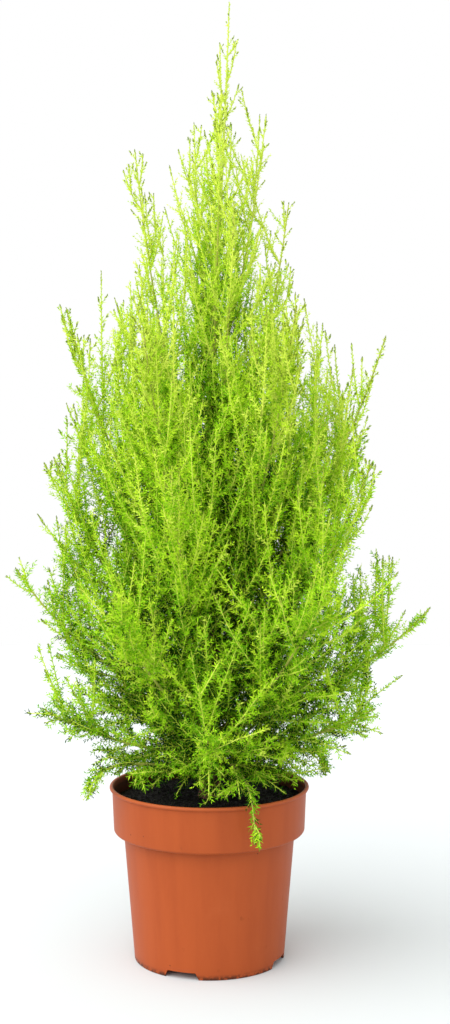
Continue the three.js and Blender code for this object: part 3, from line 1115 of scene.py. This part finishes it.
@dataclass
class Wood:
    """The trunk and the boughs, which run as in the part's source, with the bark's relief in their skin."""

    trunk: Trunk
    soil: Soil
    top_z: float = 900.0
    lean: float = 19.0
    turn_varies: float = 8.0
    bough_varies: float = 0.12
    outstanding_varies: float = 0.02
    stagger: float = 14.0
    stagger_step: float = 0.618
    bend_out: float = 0.16
    bend_up: float = 0.34
    bend_out_over_rim: float = 0.5
    bend_up_over_rim: float = 30.0
    side_share: float = 0.48
    first_twigs: float = 10.0
    bough_radii: Pair = (2.8, 0.6)
    leafy_bough: float = 0.75
    trunk_share: float = 0.8
    past_trunk: float = 0.2
    bough_stop: float = 0.995
    bough_sides: int = 7
    ring_spacing: float = 6.0
    fewest_rings: int = 12
    ridges: Relief = Relief(2.1, 0.03, 0.13, 17)
    grain: Relief = Relief(5, 0.11, 0.07, 31)
    tiers: tuple[Tier, ...] = (
        Tier("hem", 4, 176, 172, 122, 24, 0, 50, 50, -0.5, 0.65, 10),
        Tier("skirt", 5, 188, 246, 154, 54, 0.26, 62, 95, 0.05, 0.65, 18),
        Tier("lower", 6, 214, 368, 180, 0, 0.28, 70, 145, 0.72, 0.72, 18),
        Tier("middle", 5, 258, 486, 162, 36, 0.24, 72, 165, 2.2, 0.86, 12),
        Tier("upper", 6, 318, 606, 128, 0, 0.2, 70, 165, 2.8, 0.86, 14),
        Tier("shoulder", 4, 420, 702, 64, 10, 0, 66, 130, 2.3, 1.15, 10),
        Tier("top", 3, 548, 796, 40, 20, 0, 56, 75, 2.0, 1.25, 9),
        Tier("leader", 1, 745, 900, 0, 0, 0, 50, 60, 1.5, 2.1, 9),
    )
    trunk_twigs: tuple[SideTwigs, ...] = (
        SideTwigs(0.045, 125, 0.45),
        SideTwigs(0.06, 125, 0.5),
        SideTwigs(0.13, 105, 0.35),
        SideTwigs(0.2, 110, 0.1),
        SideTwigs(0.24, 95),
        SideTwigs(0.24, 75),
        SideTwigs(0.26, 55),
    )
    outstanding: dict[str, Outstanding] = field(
        default_factory=lambda: {
            "shoulder_3": Outstanding(762, 84, 14),
            "upper_1": Outstanding(590, 154, 4),
            "upper_4": Outstanding(618, 146, 8),
            "lower_1": Outstanding(336, 206, 5),
            "lower_4": Outstanding(372, 190, 5),
            "hem_4": Outstanding(136, 110, 7),
        }
    )
    boughs: list[Limb] = field(default_factory=list)
    stretches: list[Limb] = field(default_factory=list)

    @property
    def limbs(self) -> list[Limb]:
        """All that carries side twigs."""
        return self.boughs + self.stretches

    @property
    def masses(self) -> list[str]:
        """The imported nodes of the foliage."""
        return [f"foliage_{bough.name}" for bough in self.boughs]

    def middle(self, z: np.ndarray | float) -> np.ndarray | float:
        """How far to the right the leaning crown's middle is at a height."""
        return self.lean * (z - self.soil.top) / (self.top_z - self.soil.top)

    def height_share(self, z: np.ndarray) -> np.ndarray:
        """How far up the plant heights are: 0 at the soil and 1 at the top."""
        return np.maximum(z - self.soil.top, 0) / (self.top_z - self.soil.top)

    def plan(self) -> None:
        """Works out where each bough runs, as the part's source does, and the trunk's stretches between."""
        for ring, tier in enumerate(self.tiers):
            for i in range(tier.count):
                self.boughs.append(self.plan_bough(tier, i, 1000 * (ring + 1) + i))
        feet = [tier.from_z for tier in self.tiers]
        feet[0] = self.trunk.foot_z + self.first_twigs
        for tier, twigs, low, high in zip(self.tiers, self.trunk_twigs, feet, feet[1:]):
            line = self.trunk.point(self.trunk.share(np.array([low, (low + high) / 2, high])))
            self.stretches.append(Limb(f"trunk_{tier.name}", tier, through(line), twigs, tier.space))

    def plan_bough(self, tier: Tier, i: int, seed: int) -> Limb:
        """The line of one bough.

        Args:
            tier: its ring.
            i: its number in the ring.
            seed: the start of its random numbers.

        Returns:
            The bough.
        """
        name = f"{tier.name}_{i + 1}" if tier.count > 1 else tier.name
        numbers = SeededNumbers(seed)
        ends = self.outstanding.get(name, tier)
        varies = self.outstanding_varies if name in self.outstanding else self.bough_varies
        turn = math.radians(tier.turn + 360 * i / tier.count + (numbers.draw() - 0.5) * self.turn_varies)
        out = np.array([math.cos(turn), math.sin(turn), 0])
        reach = ends.reach * (1 + (numbers.draw() - 0.5) * varies)
        rise = ends.tip_z - tier.from_z
        if tier.count > 1:
            rise *= 1 + (numbers.draw() - 0.5) * varies
        from_z = tier.from_z + self.stagger * ((i * self.stagger_step) % 1)
        start = self.trunk.point(self.trunk.share(from_z))
        if tier.count == 1:
            start[2] = self.trunk.tip_z + self.soil.gap
        tip = np.array([self.middle(ends.tip_z), 0, tier.from_z + rise]) + out * reach
        rises = rise > 0
        bend = (start + tip) / 2 + out * reach * (self.bend_out if rises else self.bend_out_over_rim)
        bend[2] = start[2] + ((tip[2] - start[2]) * self.bend_up if rises else self.bend_up_over_rim)
        curve = np.stack([start, bend, tip])
        size = self.side_share * float(lengths_of(curve[None])[0])
        return Limb(name, tier, curve, SideTwigs(tier.room, size), ends.space)

    def build(self) -> None:
        """Plans the limbs and makes the trunk's piece and the boughs' piece."""
        self.plan()
        trunk = self.trunk
        t = np.linspace(-trunk.sunk / trunk.length, 1, trunk.rings)
        skin = self.bark(trunk.point(t), trunk.radius(np.maximum(t, 0)), trunk.sides, 0)
        show("trunk_bark", *skin, OLD_BARK.material(), "bark", ["trunk"])
        points, faces, start = [], [], 0
        for number, bough in enumerate(self.boughs):
            line, radius = self.bough_line(bough)
            bough_points, bough_faces = self.bark(line, radius, self.bough_sides, number + 1)
            points.append(bough_points)
            faces.append(bough_faces + start)
            start += len(bough_points)
        nodes = [f"bough_{bough.name}" for bough in self.boughs if bough.tier.bare > 0]
        skin = np.concatenate(points), np.concatenate(faces)
        show("boughs", *skin, YOUNG_BARK.material(), "bark", nodes)

    def bough_line(self, bough: Limb) -> tuple[np.ndarray, np.ndarray]:
        """The line of a bough's skin, which is thinner than the trunk at its foot.

        Args:
            bough: the bough.

        Returns:
            The points from foot to tip, and the radius at each.
        """
        rings = max(self.fewest_rings, round(bough.length / self.ring_spacing))
        t = np.linspace(0, self.bough_stop, rings)
        line = point_on(np.broadcast_to(bough.curve, (rings, 3, 3)), t)
        foot, tip = self.bough_radii
        radius = foot + (tip - foot) * np.sqrt(t)
        if bough.tier.bare == 0:
            radius = radius * self.leafy_bough
        at_trunk = self.trunk.radius(self.trunk.share(line[0, 2]))
        return line, np.minimum(radius, self.trunk_share * at_trunk + self.past_trunk)

    def bark(
        self, line: np.ndarray, radius: np.ndarray, sides: int, number: int
    ) -> tuple[np.ndarray, np.ndarray]:
        """A limb's skin with long ridges and grooves.

        Args:
            line: its middle, from foot to tip.
            radius: at each of those points.
            sides: how many sides it has.
            number: the limb's own, so that no two have the same ridges.

        Returns:
            The points and the triangles.
        """
        along = unit(np.gradient(line, axis=0))
        across, third = crosswise(along)
        done = np.concatenate([[0], np.cumsum(np.linalg.norm(np.diff(line, axis=0), axis=1))])
        points = []
        for i in range(len(line)):
            for j in range(sides):
                turn = 2 * math.pi * j / sides
                x, y = math.cos(turn), math.sin(turn)
                ridge = 0.5 - abs(2 * self.ridges.at(x, y, done[i], number))
                grain = self.grain.at(x, y, done[i], number)
                swell = radius[i] * (1 + self.ridges.depth * ridge + self.grain.depth * grain)
                points.append(line[i] + (across[i] * x + third[i] * y) * swell)
        points.append(line[-1] + along[-1] * radius[-1])
        return np.array(points), skin_faces(len(line), sides)


@dataclass
class Twigs:
    """One order of twigs: their lines, the number of each one's limb and spray, and how young it is."""

    curves: np.ndarray
    limb: np.ndarray
    spray: np.ndarray
    youth: np.ndarray

    @property
    def tips(self) -> np.ndarray:
        """Where the twigs end."""
        return self.curves[:, 2]

    def columns(self) -> tuple[np.ndarray, ...]:
        """The arrays, one row a twig in each."""
        return self.curves, self.limb, self.spray, self.youth

    def joined(self, other: "Twigs") -> "Twigs":
        """These twigs and others together."""
        return Twigs(*(np.concatenate(pair) for pair in zip(self.columns(), other.columns())))

    def chosen(self, which: np.ndarray) -> "Twigs":
        """Some of these twigs."""
        return Twigs(*(column[which] for column in self.columns()))


@dataclass(frozen=True)
class Growth:
    """How one order of twigs leaves the order before it, by the golden turn.

    spacing is in millimetres of the parent, zone the part of the parent that carries twigs, angles
    the lowest and highest angle between them, sizes the lowest and highest share of a twig's full
    size, taper how much shorter the last twigs are, follow how much a twig bends to its parent's
    heading, lift how much it turns up, and tries how often one that doesn't fit is turned on.
    """

    spacing: float
    zone: Pair
    angles: Pair
    sizes: Pair
    taper: float
    follow: float
    lift: float
    tries: int
    seed: int


@dataclass(frozen=True)
class AxisSet:
    """The axes of one order of twigs: their piece's name, finish, radii at root and tip, and rings."""

    piece: str
    finish: Needle
    radii: Pair
    rings: int


@dataclass
class Crown:
    """The twigs, which grow on from the limbs, order by order, within the crown's reach.

    The reach is given to the left and to the right of the crown's middle at some heights. A twig may
    take a share of it that is drawn between the limits, more often a low one. Twigs that find no room
    are made shorter and then turned on. Part of a twig's youth comes from its parent, and the rest from
    its place there.
    """

    wood: Wood
    highest: float = 903.0
    lowest: float = 126.0
    rim_clearance: float = 4.0
    soil_clearance: float = 5.0
    trunk_clearance: float = 1.0
    line_points: int = 25
    tested_at: tuple[float, ...] = (0.45, 0.75, 1.0)
    limits: Pair = (0.85, 1.2)
    limit_bias: float = 2.1
    places: Pair = (0.1, 0.9)
    shorter: tuple[float, ...] = (1.0, 0.75, 0.55, 0.38)
    turn_at: float = 0.33
    flatter: float = 1.06
    lift_varies: float = 0.35
    youth_of_parent: float = 0.55
    youth_of_place: float = 0.45
    bough_end: float = 90.0
    bough_end_most: float = 0.7
    bough_end_youth: float = 0.45
    shoot_share: float = 0.34
    branchlet_share: float = 0.42
    branching_from: float = 20.0
    sides: Growth = Growth(22, (0.14, 0.9), (0.55, 0.95), (0.75, 1.2), 0.45, 0, 0.8, 5, 654)
    plumes: Growth = Growth(34, (0.1, 0.97), (0.35, 0.8), (0.6, 1.1), 0.4, 0.2, 1, 5, 423)
    shoots: Growth = Growth(6.0, (0.06, 0.95), (0.65, 0.95), (0.65, 1.2), 0.65, 0.25, 0.12, 2, 5)
    branchlets: Growth = Growth(4.5, (0.25, 0.9), (0.65, 0.95), (0.6, 1.2), 0.5, 0.3, 0.06, 1, 7)
    axis_sides: int = 3
    axes: tuple[AxisSet, ...] = (
        AxisSet("leading_axes", Needle("leading_axis", linear(212, 230, 88)), (1.0, 0.45), 6),
        AxisSet("shoot_axes", Needle("shoot_axis", linear(206, 230, 70)), (0.5, 0.3), 1),
        AxisSet("branchlet_axes", Needle("branchlet_axis", linear(204, 228, 60)), (0.4, 0.2), 1),
    )
    reach_z: tuple[float, ...] = (140, 165, 180, 240, 300, 390, 420, 480, 540, 600, 660, 720, 780, 840, 900)
    reach_left: tuple[float, ...] = (50, 92, 112, 142, 172, 166, 164, 154, 148, 122, 100, 64, 40, 26, 4)
    reach_right: tuple[float, ...] = (50, 97, 124, 158, 184, 190, 150, 140, 130, 102, 62, 42, 36, 17, 4)

    def depth(self, points: np.ndarray) -> np.ndarray:
        """How far out points are in the leaning crown: 0 at its middle and 1 at its reach.

        Args:
            points: the points.

        Returns:
            One value a point.
        """
        z = points[..., 2]
        right = points[..., 0] - self.wood.middle(z)
        away = np.hypot(right, points[..., 1] * self.flatter)
        share = 0.5 + 0.5 * right / np.maximum(away, 1e-9)
        left_reach = np.interp(z, self.reach_z, self.reach_left)
        right_reach = np.interp(z, self.reach_z, self.reach_right)
        return away / (left_reach + (right_reach - left_reach) * share)

    def clear_of_pot(self, points: np.ndarray) -> np.ndarray:
        """Whether points are clear of the pot and the soil.

        Args:
            points: the points.

        Returns:
            One truth a point.
        """
        soil, pot = self.wood.soil, self.wood.soil.pot
        radius, z = np.hypot(points[..., 0], points[..., 1]), points[..., 2]
        outside = (radius > pot.rim_radius + self.rim_clearance) | (z > pot.height + self.rim_clearance)
        within = radius < pot.rim_radius - 2 * self.rim_clearance
        return outside | (within & (z > soil.top + self.soil_clearance))

    def from_limb(self, points: np.ndarray, limb: np.ndarray) -> np.ndarray:
        """How far points of twigs are from the lines of their own limbs.

        Args:
            points: some for each twig.
            limb: the number of each twig's limb.

        Returns:
            One distance a point.
        """
        t = np.linspace(0, 1, self.line_points)
        curves = np.stack([one.curve for one in self.wood.limbs])
        lines = point_on(curves[:, None], np.broadcast_to(t, (len(curves), len(t))))[limb]
        start, step = lines[:, None, :-1], np.diff(lines, axis=1)[:, None]
        away = points[:, :, None] - start
        share = (away * step).sum(axis=3) / (step**2).sum(axis=3)
        return np.linalg.norm(away - step * np.clip(share, 0, 1)[..., None], axis=3).min(axis=2)

    def keeps_in(self, curves: np.ndarray, limb: np.ndarray, limit: np.ndarray) -> np.ndarray:
        """Whether twigs stay within the crown's reach, or close to their own limb, and clear of the rest.

        Args:
            curves: the twigs.
            limb: the number of each one's limb.
            limit: the share of the reach that each may take.

        Returns:
            One truth a twig.
        """
        t = np.array(self.tested_at)
        points = point_on(curves[:, None], np.broadcast_to(t, (len(curves), len(t))))
        space = np.array([one.space for one in self.wood.limbs])[limb]
        inside = (self.depth(points) < limit[:, None]) | (self.from_limb(points, limb) < space[:, None])
        clear = self.clear_of_pot(points) & (self.wood.trunk.distance(points) > self.trunk_clearance)
        level = (points[..., 2] < self.highest) & (points[..., 2] > self.lowest)
        return (inside & clear & level).all(axis=1)

    def sprout(self, parents: Twigs, full_size: np.ndarray, room: np.ndarray, growth: Growth) -> Twigs:
        """Grows the next order of twigs.

        Args:
            parents: the twigs that carry them.
            full_size: of the twigs on each parent.
            room: how far apart the twigs on each parent are, against the usual spacing.
            growth: how they leave their parents.

        Returns:
            The twigs that found room.
        """
        limbs = self.wood.limbs
        numbers = np.random.default_rng(growth.seed)
        low, high = growth.zone
        carrying = lengths_of(parents.curves) * (high - low)
        counts = np.maximum(1, np.round(carrying / (growth.spacing * room))).astype(int)
        owner, number = along_each(counts)
        total = len(owner)
        t = low + (high - low) * (number + numbers.uniform(*self.places, total)) / counts[owner]
        limb = parents.limb[owner]
        root, along = point_on(parents.curves[owner], t), heading(parents.curves[owner], t)
        turn = number * GOLDEN_TURN + numbers.uniform(0, ANY_TURN, len(counts))[owner]
        angle = numbers.uniform(*growth.angles, total)
        if growth is self.sides:
            angle = angle + np.array([one.sides.spread for one in limbs])[limb]
        size = full_size[owner] * numbers.uniform(*growth.sizes, total) * (1 - growth.taper * t)
        lifts = np.array([one.tier.lift for one in limbs])[limb]
        lift = growth.lift * (lifts + numbers.normal(0, self.lift_varies, total))
        least, most = self.limits
        limit = least + (most - least) * numbers.uniform(0, 1, total) ** self.limit_bias
        curves = np.zeros((total, 3, 3))
        settled = np.zeros(total, bool)
        for _ in range(growth.tries):
            for share in self.shorter if growth.tries > 1 else self.shorter[:1]:
                left = np.flatnonzero(~settled)
                out = leaving(along[left], turn[left], angle[left])
                ahead = unit(out + along[left] * growth.follow + UP * lift[left][:, None])
                length = (size[left] * share)[:, None]
                bend = root[left] + out * length * self.turn_at
                tried = np.stack([root[left], bend, bend + ahead * length * (1 - self.turn_at)], axis=1)
                if growth.tries > 1:
                    good = self.keeps_in(tried, limb[left], limit[left])
                else:
                    good = self.clear_of_pot(tried[:, 2])
                curves[left[good]] = tried[good]
                settled[left[good]] = True
            turn = turn + GOLDEN_TURN * ~settled
        youth = self.youth_of_parent * parents.youth[owner] + self.youth_of_place * t
        return Twigs(curves, limb, parents.spray[owner], youth).chosen(settled)

    def ends_of(self, boughs: Twigs) -> Twigs:
        """The last stretch of every bough, as a leading twig of its own.

        Args:
            boughs: the boughs' lines.

        Returns:
            The leading twigs.
        """
        start = 1 - np.minimum(self.bough_end_most, self.bough_end / lengths_of(boughs.curves))
        line = [point_on(boughs.curves, t) for t in (start, (1 + start) / 2, np.ones(len(start)))]
        youth = np.full(len(start), self.bough_end_youth)
        return Twigs(through(np.stack(line, axis=1)), boughs.limb, boughs.spray, youth)

    def grow(self) -> tuple[Twigs, Twigs, Twigs]:
        """Grows the orders of twigs from the limbs.

        Returns:
            The leading twigs, with the side twigs among them, the shoots and the branchlets.
        """
        limbs = self.wood.limbs
        count = len(limbs)
        curves = np.stack([limb.curve for limb in limbs])
        wood = Twigs(curves, np.arange(count), np.arange(count), np.zeros(count))
        boughs = wood.chosen(np.arange(len(self.wood.boughs)))
        lengths, rooms = np.array([(limb.sides.size, limb.sides.room) for limb in limbs]).T
        sides = self.sprout(wood, lengths, rooms, self.sides)
        carriers = boughs.joined(sides)
        tiers = [limb.tier for limb in limbs]
        lengths, sprays, rooms = np.array([(tier.plume, tier.spray, tier.room) for tier in tiers]).T
        plumes = self.sprout(carriers, lengths[carriers.limb], rooms[carriers.limb], self.plumes)
        plumes = plumes.joined(sides).joined(self.ends_of(boughs))
        plumes.spray = np.arange(len(plumes.limb))
        sizes = self.shoot_share * sprays[plumes.limb]
        shoots = self.sprout(plumes, sizes, rooms[plumes.limb], self.shoots)
        lengths = lengths_of(shoots.curves)
        branching = lengths > self.branching_from
        sizes = self.branchlet_share * lengths[branching]
        branchlets = self.sprout(shoots.chosen(branching), sizes, np.ones(len(sizes)), self.branchlets)
        return plumes, shoots, branchlets

    def build(self) -> tuple[Twigs, Twigs, Twigs]:
        """Grows the twigs and makes the pieces of their axes.

        Returns:
            The leading twigs, the shoots and the branchlets.
        """
        orders = self.grow()
        log.info("%d leading twigs, %d shoots, %d branchlets", *(len(twigs.limb) for twigs in orders))
        for rule, twigs in zip(self.axes, orders):
            skin = tubes(twigs.curves, rule.radii, rule.rings, self.axis_sides)
            show(rule.piece, *skin, rule.finish.material(), "foliage", self.wood.masses)
        return orders


@dataclass(frozen=True)
class NeedleSet:
    """How needles stand round one order of twigs: spacing, length, angles at root and tip, zone."""

    spacing: float
    length: float
    angles: Pair
    zone: Pair
    seed: int


@dataclass(frozen=True)
class NeedleShape:
    """A needle's form, a slim folded kite, and how much needles differ.

    rolls is the middle and the spread of a needle's roll about itself. places, turns, tilts and lengths
    are the ranges of its place in its own stretch of the twig, of its turn and tilt, and of its length
    against the usual one. shrinks and closes are the heights from and to which needles get shorter and
    lie closer to the twig, and how much.
    """

    width: float = 1.4
    fold: float = 0.16
    widest_at: float = 0.2
    shorter_at_tip: float = 0.42
    fewest: int = 3
    rolls: Pair = (math.pi / 2, 0.45)
    places: Pair = (0.4, 0.9)
    turns: Pair = (-0.25, 0.25)
    tilts: Pair = (-0.15, 0.15)
    lengths: Pair = (0.75, 1.2)
    shrinks: tuple[Pair, Pair] = ((450, 680), (1.0, 0.7))
    closes: tuple[Pair, Pair] = ((430, 640), (1.0, 0.78))


@dataclass(frozen=True)
class Lightness:
    """What makes needles light: being far out, high up and young, and chance by spray and by twig. Young
    outer growth is truly yellower, and the darker tints deep in the crown and low down are also painted
    shade.

    Being far out counts up to the share outer_full of the reach. shares are the shares of all needles up to
    which each tint goes, from the darkest on.
    """

    # painted shade, partly: needles deep in the crown and low down get the darker tints
    outer: float = 0.65
    outer_full: float = 0.8
    high_squared: float = 1.5
    high: float = 0.5
    youth: float = 0.35
    spray_varies: float = 0.14
    twig_varies: float = 0.27
    shares: tuple[float, ...] = (0.25, 0.49, 0.74, 0.915)
    seed: int = 23


@dataclass(frozen=True)
class DarkEnds:
    """Which twigs end in a darker bead of close needles, and from which share of their length on.

    They end past a share of the crown's reach, or above top_z. Shoots are also above shoot_z and young.
    """

    top_z: float = 770.0
    twig_depth: float = 0.86
    twig_part: float = 0.91
    shoot_depth: float = 0.9
    shoot_part: float = 0.65
    shoot_z: float = 460.0
    shoot_youth: float = 0.36


@dataclass
class Foliage:
    """The needles round the twigs, in plain tints that are dealt out by how light each twig is, partly
    their own colour and partly painted shade.
    """

    crown: Crown
    shape: NeedleShape = NeedleShape()
    lightness: Lightness = Lightness()
    dark_ends: DarkEnds = DarkEnds()
    plume_needles: NeedleSet = NeedleSet(1.4, 5.2, (1.1, 0.65), (0.04, 0.97), 29)
    shoot_needles: NeedleSet = NeedleSet(1.15, 4.7, (1.1, 0.65), (0.06, 1.0), 37)
    branchlet_needles: NeedleSet = NeedleSet(1.2, 4.3, (1.1, 0.65), (0.05, 1.0), 31)
    end_needles: NeedleSet = NeedleSet(0.7, 3.2, (0.5, 0.25), (0.0, 1.0), 41)
    from_dark: tuple[Tint, ...] = (Tint.SHADE, Tint.LEAF, Tint.FRESH, Tint.LIME, Tint.LEMON)

    def needles(self, curves: np.ndarray, rule: NeedleSet) -> tuple[np.ndarray, np.ndarray]:
        """Needles round twigs by the golden turn, each a slim folded kite of two triangles.

        Args:
            curves: the twigs.
            rule: how the needles stand on them.

        Returns:
            Four points for each needle, and the number of its twig.
        """
        shape = self.shape
        numbers = np.random.default_rng(rule.seed)
        low, high = rule.zone
        room = lengths_of(curves) * (high - low)
        counts = np.maximum(shape.fewest, np.round(room / rule.spacing)).astype(int)
        owner, number = along_each(counts)
        total = len(owner)
        t = low + (high - low) * (number + numbers.uniform(*shape.places, total)) / counts[owner]
        root, along = point_on(curves[owner], t), heading(curves[owner], t)
        turn = number * GOLDEN_TURN + numbers.uniform(*shape.turns, total)
        turn = turn + numbers.uniform(0, ANY_TURN, len(curves))[owner]
        angle = rule.angles[0] + (rule.angles[1] - rule.angles[0]) * t**2
        angle = (angle + numbers.uniform(*shape.tilts, total)) * np.interp(root[:, 2], *shape.closes)
        out = leaving(along, turn, angle)
        length = rule.length * (1 - shape.shorter_at_tip * t**3) * numbers.uniform(*shape.lengths, total)
        length = (length * np.interp(root[:, 2], *shape.shrinks))[:, None]
        flat = unit(np.cross(out, along))
        roll = numbers.normal(*shape.rolls, total)[:, None]
        across = flat * np.cos(roll) + np.cross(flat, out) * np.sin(roll)
        fold = np.cross(across, out) * shape.width * shape.fold
        across = across * shape.width / 2
        middle = root + out * length * shape.widest_at + fold
        points = np.stack([root, middle - across, root + out * length, middle + across], axis=1)
        return points, owner

    def light(self, twigs: Twigs, varied: np.ndarray) -> np.ndarray:
        """How light the needles on twigs are: lighter outside, higher up and on young growth, which is
        partly the foliage's own colour and partly painted shade deep in the crown and low down.

        Args:
            twigs: one order of them.
            varied: what chance adds for each spray.

        Returns:
            One value a twig.
        """
        rule = self.lightness
        high = self.crown.wood.height_share(twigs.tips[:, 2])
        # painted shade, partly: the inner and lower twigs come out darker
        outer = np.minimum(self.crown.depth(twigs.tips) / rule.outer_full, 1) ** 2
        place = rule.outer * outer + rule.high_squared * high**2 + rule.high * high
        return place + rule.youth * twigs.youth + varied[twigs.spray]

    def build(self, plumes: Twigs, shoots: Twigs, branchlets: Twigs) -> None:
        """Makes the needles and deals them out into the tints.

        Args:
            plumes, shoots, branchlets: the twigs that carry them.
        """
        numbers = np.random.default_rng(self.lightness.seed)
        varied = numbers.normal(0, self.lightness.spray_varies, plumes.spray.max() + 1)
        points, lights = [], []
        for twigs, rule in (
            (branchlets, self.branchlet_needles),
            (shoots, self.shoot_needles),
            (plumes, self.plume_needles),
        ):
            some, owner = self.needles(twigs.curves, rule)
            chance = numbers.normal(0, self.lightness.twig_varies, len(twigs.limb))
            points.append(some)
            lights.append((self.light(twigs, varied) + chance)[owner])
        every, light = np.concatenate(points), np.concatenate(lights)
        grade = np.digitize(light, np.quantile(light, self.lightness.shares))
        for place, tint in enumerate(self.from_dark):
            self.show_needles(tint, every[grade == place])
        self.build_ends(plumes, shoots)

    def build_ends(self, plumes: Twigs, shoots: Twigs) -> None:
        """Makes the darker ends of the outer leading twigs and of the outer young shoots.

        Args:
            plumes, shoots: the twigs.
        """
        rule = self.dark_ends
        outer = self.at_edge(plumes.tips, rule.twig_depth)
        young = self.at_edge(shoots.tips, rule.shoot_depth) & (shoots.tips[:, 2] > rule.shoot_z)
        young &= shoots.youth > rule.shoot_youth
        parts = [
            self.last_part(plumes.curves[outer], rule.twig_part),
            self.last_part(shoots.curves[young], rule.shoot_part),
        ]
        points, _ = self.needles(np.concatenate(parts), self.end_needles)
        below_top = points[:, :, 2].max(axis=1) < self.crown.wood.top_z
        self.show_needles(Tint.TIP, points[below_top])

    def at_edge(self, tips: np.ndarray, share: float) -> np.ndarray:
        """Whether twigs end past a share of the crown's reach, or near its top."""
        return (self.crown.depth(tips) > share) | (tips[:, 2] > self.dark_ends.top_z)

    def last_part(self, curves: np.ndarray, start: float) -> np.ndarray:
        """The last part of twigs, from a share of their length on."""
        line = [point_on(curves, np.full(len(curves), t)) for t in (start, (1 + start) / 2, 1.0)]
        return through(np.stack(line, axis=1))

    def show_needles(self, tint: Tint, points: np.ndarray) -> None:
        """Makes the pieces of one tint of needles, each within the limit of triangles.

        Args:
            tint: their colour.
            points: four for each needle.
        """
        name = f"needles_{tint.name.lower()}"
        finish = Needle(name, tint.value).material()
        kite = np.array([[0, 1, 2], [0, 2, 3]])
        pieces = math.ceil(len(kite) * len(points) / MOST_TRIANGLES)
        for number, part in enumerate(np.array_split(points, pieces)):
            faces = (kite + 4 * np.arange(len(part))[:, None, None]).reshape(-1, 3)
            shape = part.reshape(-1, 3), faces
            show(f"{name}_{number + 1}", *shape, finish, "foliage", self.crown.wood.masses, False)


@dataclass
class Studio:
    """The floor, the light and the camera, in metres."""

    floor_radii: Pair = (0.3, 2.0)
    floor_sides: int = 64
    eye: tuple[float, float, float] = (0.015, -1.594, 0.544)
    pitch: float = math.radians(90 - 4.19)
    lens: float = 59.55
    clip_end: float = 100.0
    sun_strength: float = 3.1
    sun_angle: float = math.radians(75)
    sun_from: tuple[float, float, float] = (-0.9, -0.8, 1.5)
    sky: float = 1.0

    def build(self) -> None:
        """Makes the stage."""
        self.build_floor()
        self.build_light()
        self.build_camera()

    def build_floor(self) -> None:
        """A wide pale disc under the pot."""
        profile = [(0, 0), *((radius, 0) for radius in self.floor_radii), (0, 0)]
        points, faces = lathe(np.array(profile, float), self.floor_sides)
        underside = len(points) - 1
        mesh = bpy.data.meshes.new("floor")
        mesh.from_pydata(points.tolist(), [], [face for face in faces if underside not in face])
        mesh.materials.append(StudioWhite().material())
        floor = bpy.data.objects.new("floor", mesh)
        bpy.context.scene.collection.objects.link(floor)

    def build_light(self) -> None:
        """A white surround and one soft sun."""
        world = bpy.data.worlds.new("studio")
        world.use_nodes = True
        background = world.node_tree.nodes["Background"]
        background.inputs["Color"].default_value = (1, 1, 1, 1)
        background.inputs["Strength"].default_value = self.sky
        bpy.context.scene.world = world
        bpy.context.scene.view_settings.view_transform = "Standard"
        lamp = bpy.data.lights.new("window", "SUN")
        lamp.energy = self.sun_strength
        lamp.angle = self.sun_angle
        sun = bpy.data.objects.new("window", lamp)
        sun.rotation_euler = (-Vector(self.sun_from)).to_track_quat("-Z", "Y").to_euler()
        bpy.context.scene.collection.objects.link(sun)

    def build_camera(self) -> None:
        """The camera, a little above the middle of the plant and tilted down."""
        lens = bpy.data.cameras.new("camera")
        lens.lens = self.lens
        lens.clip_end = self.clip_end
        camera = bpy.data.objects.new("camera", lens)
        camera.location = self.eye
        camera.rotation_euler = (self.pitch, 0, 0)
        bpy.context.scene.collection.objects.link(camera)
        bpy.context.scene.camera = camera


def main() -> None:
    """Builds the plant and its stage in order."""
    Studio().build()
    pot = Pot()
    pot.build()
    soil = Soil(pot)
    soil.build()
    wood = Wood(Trunk(), soil)
    wood.build()
    crown = Crown(wood)
    Foliage(crown).build(*crown.build())


if __name__ == "__main__":
    main()
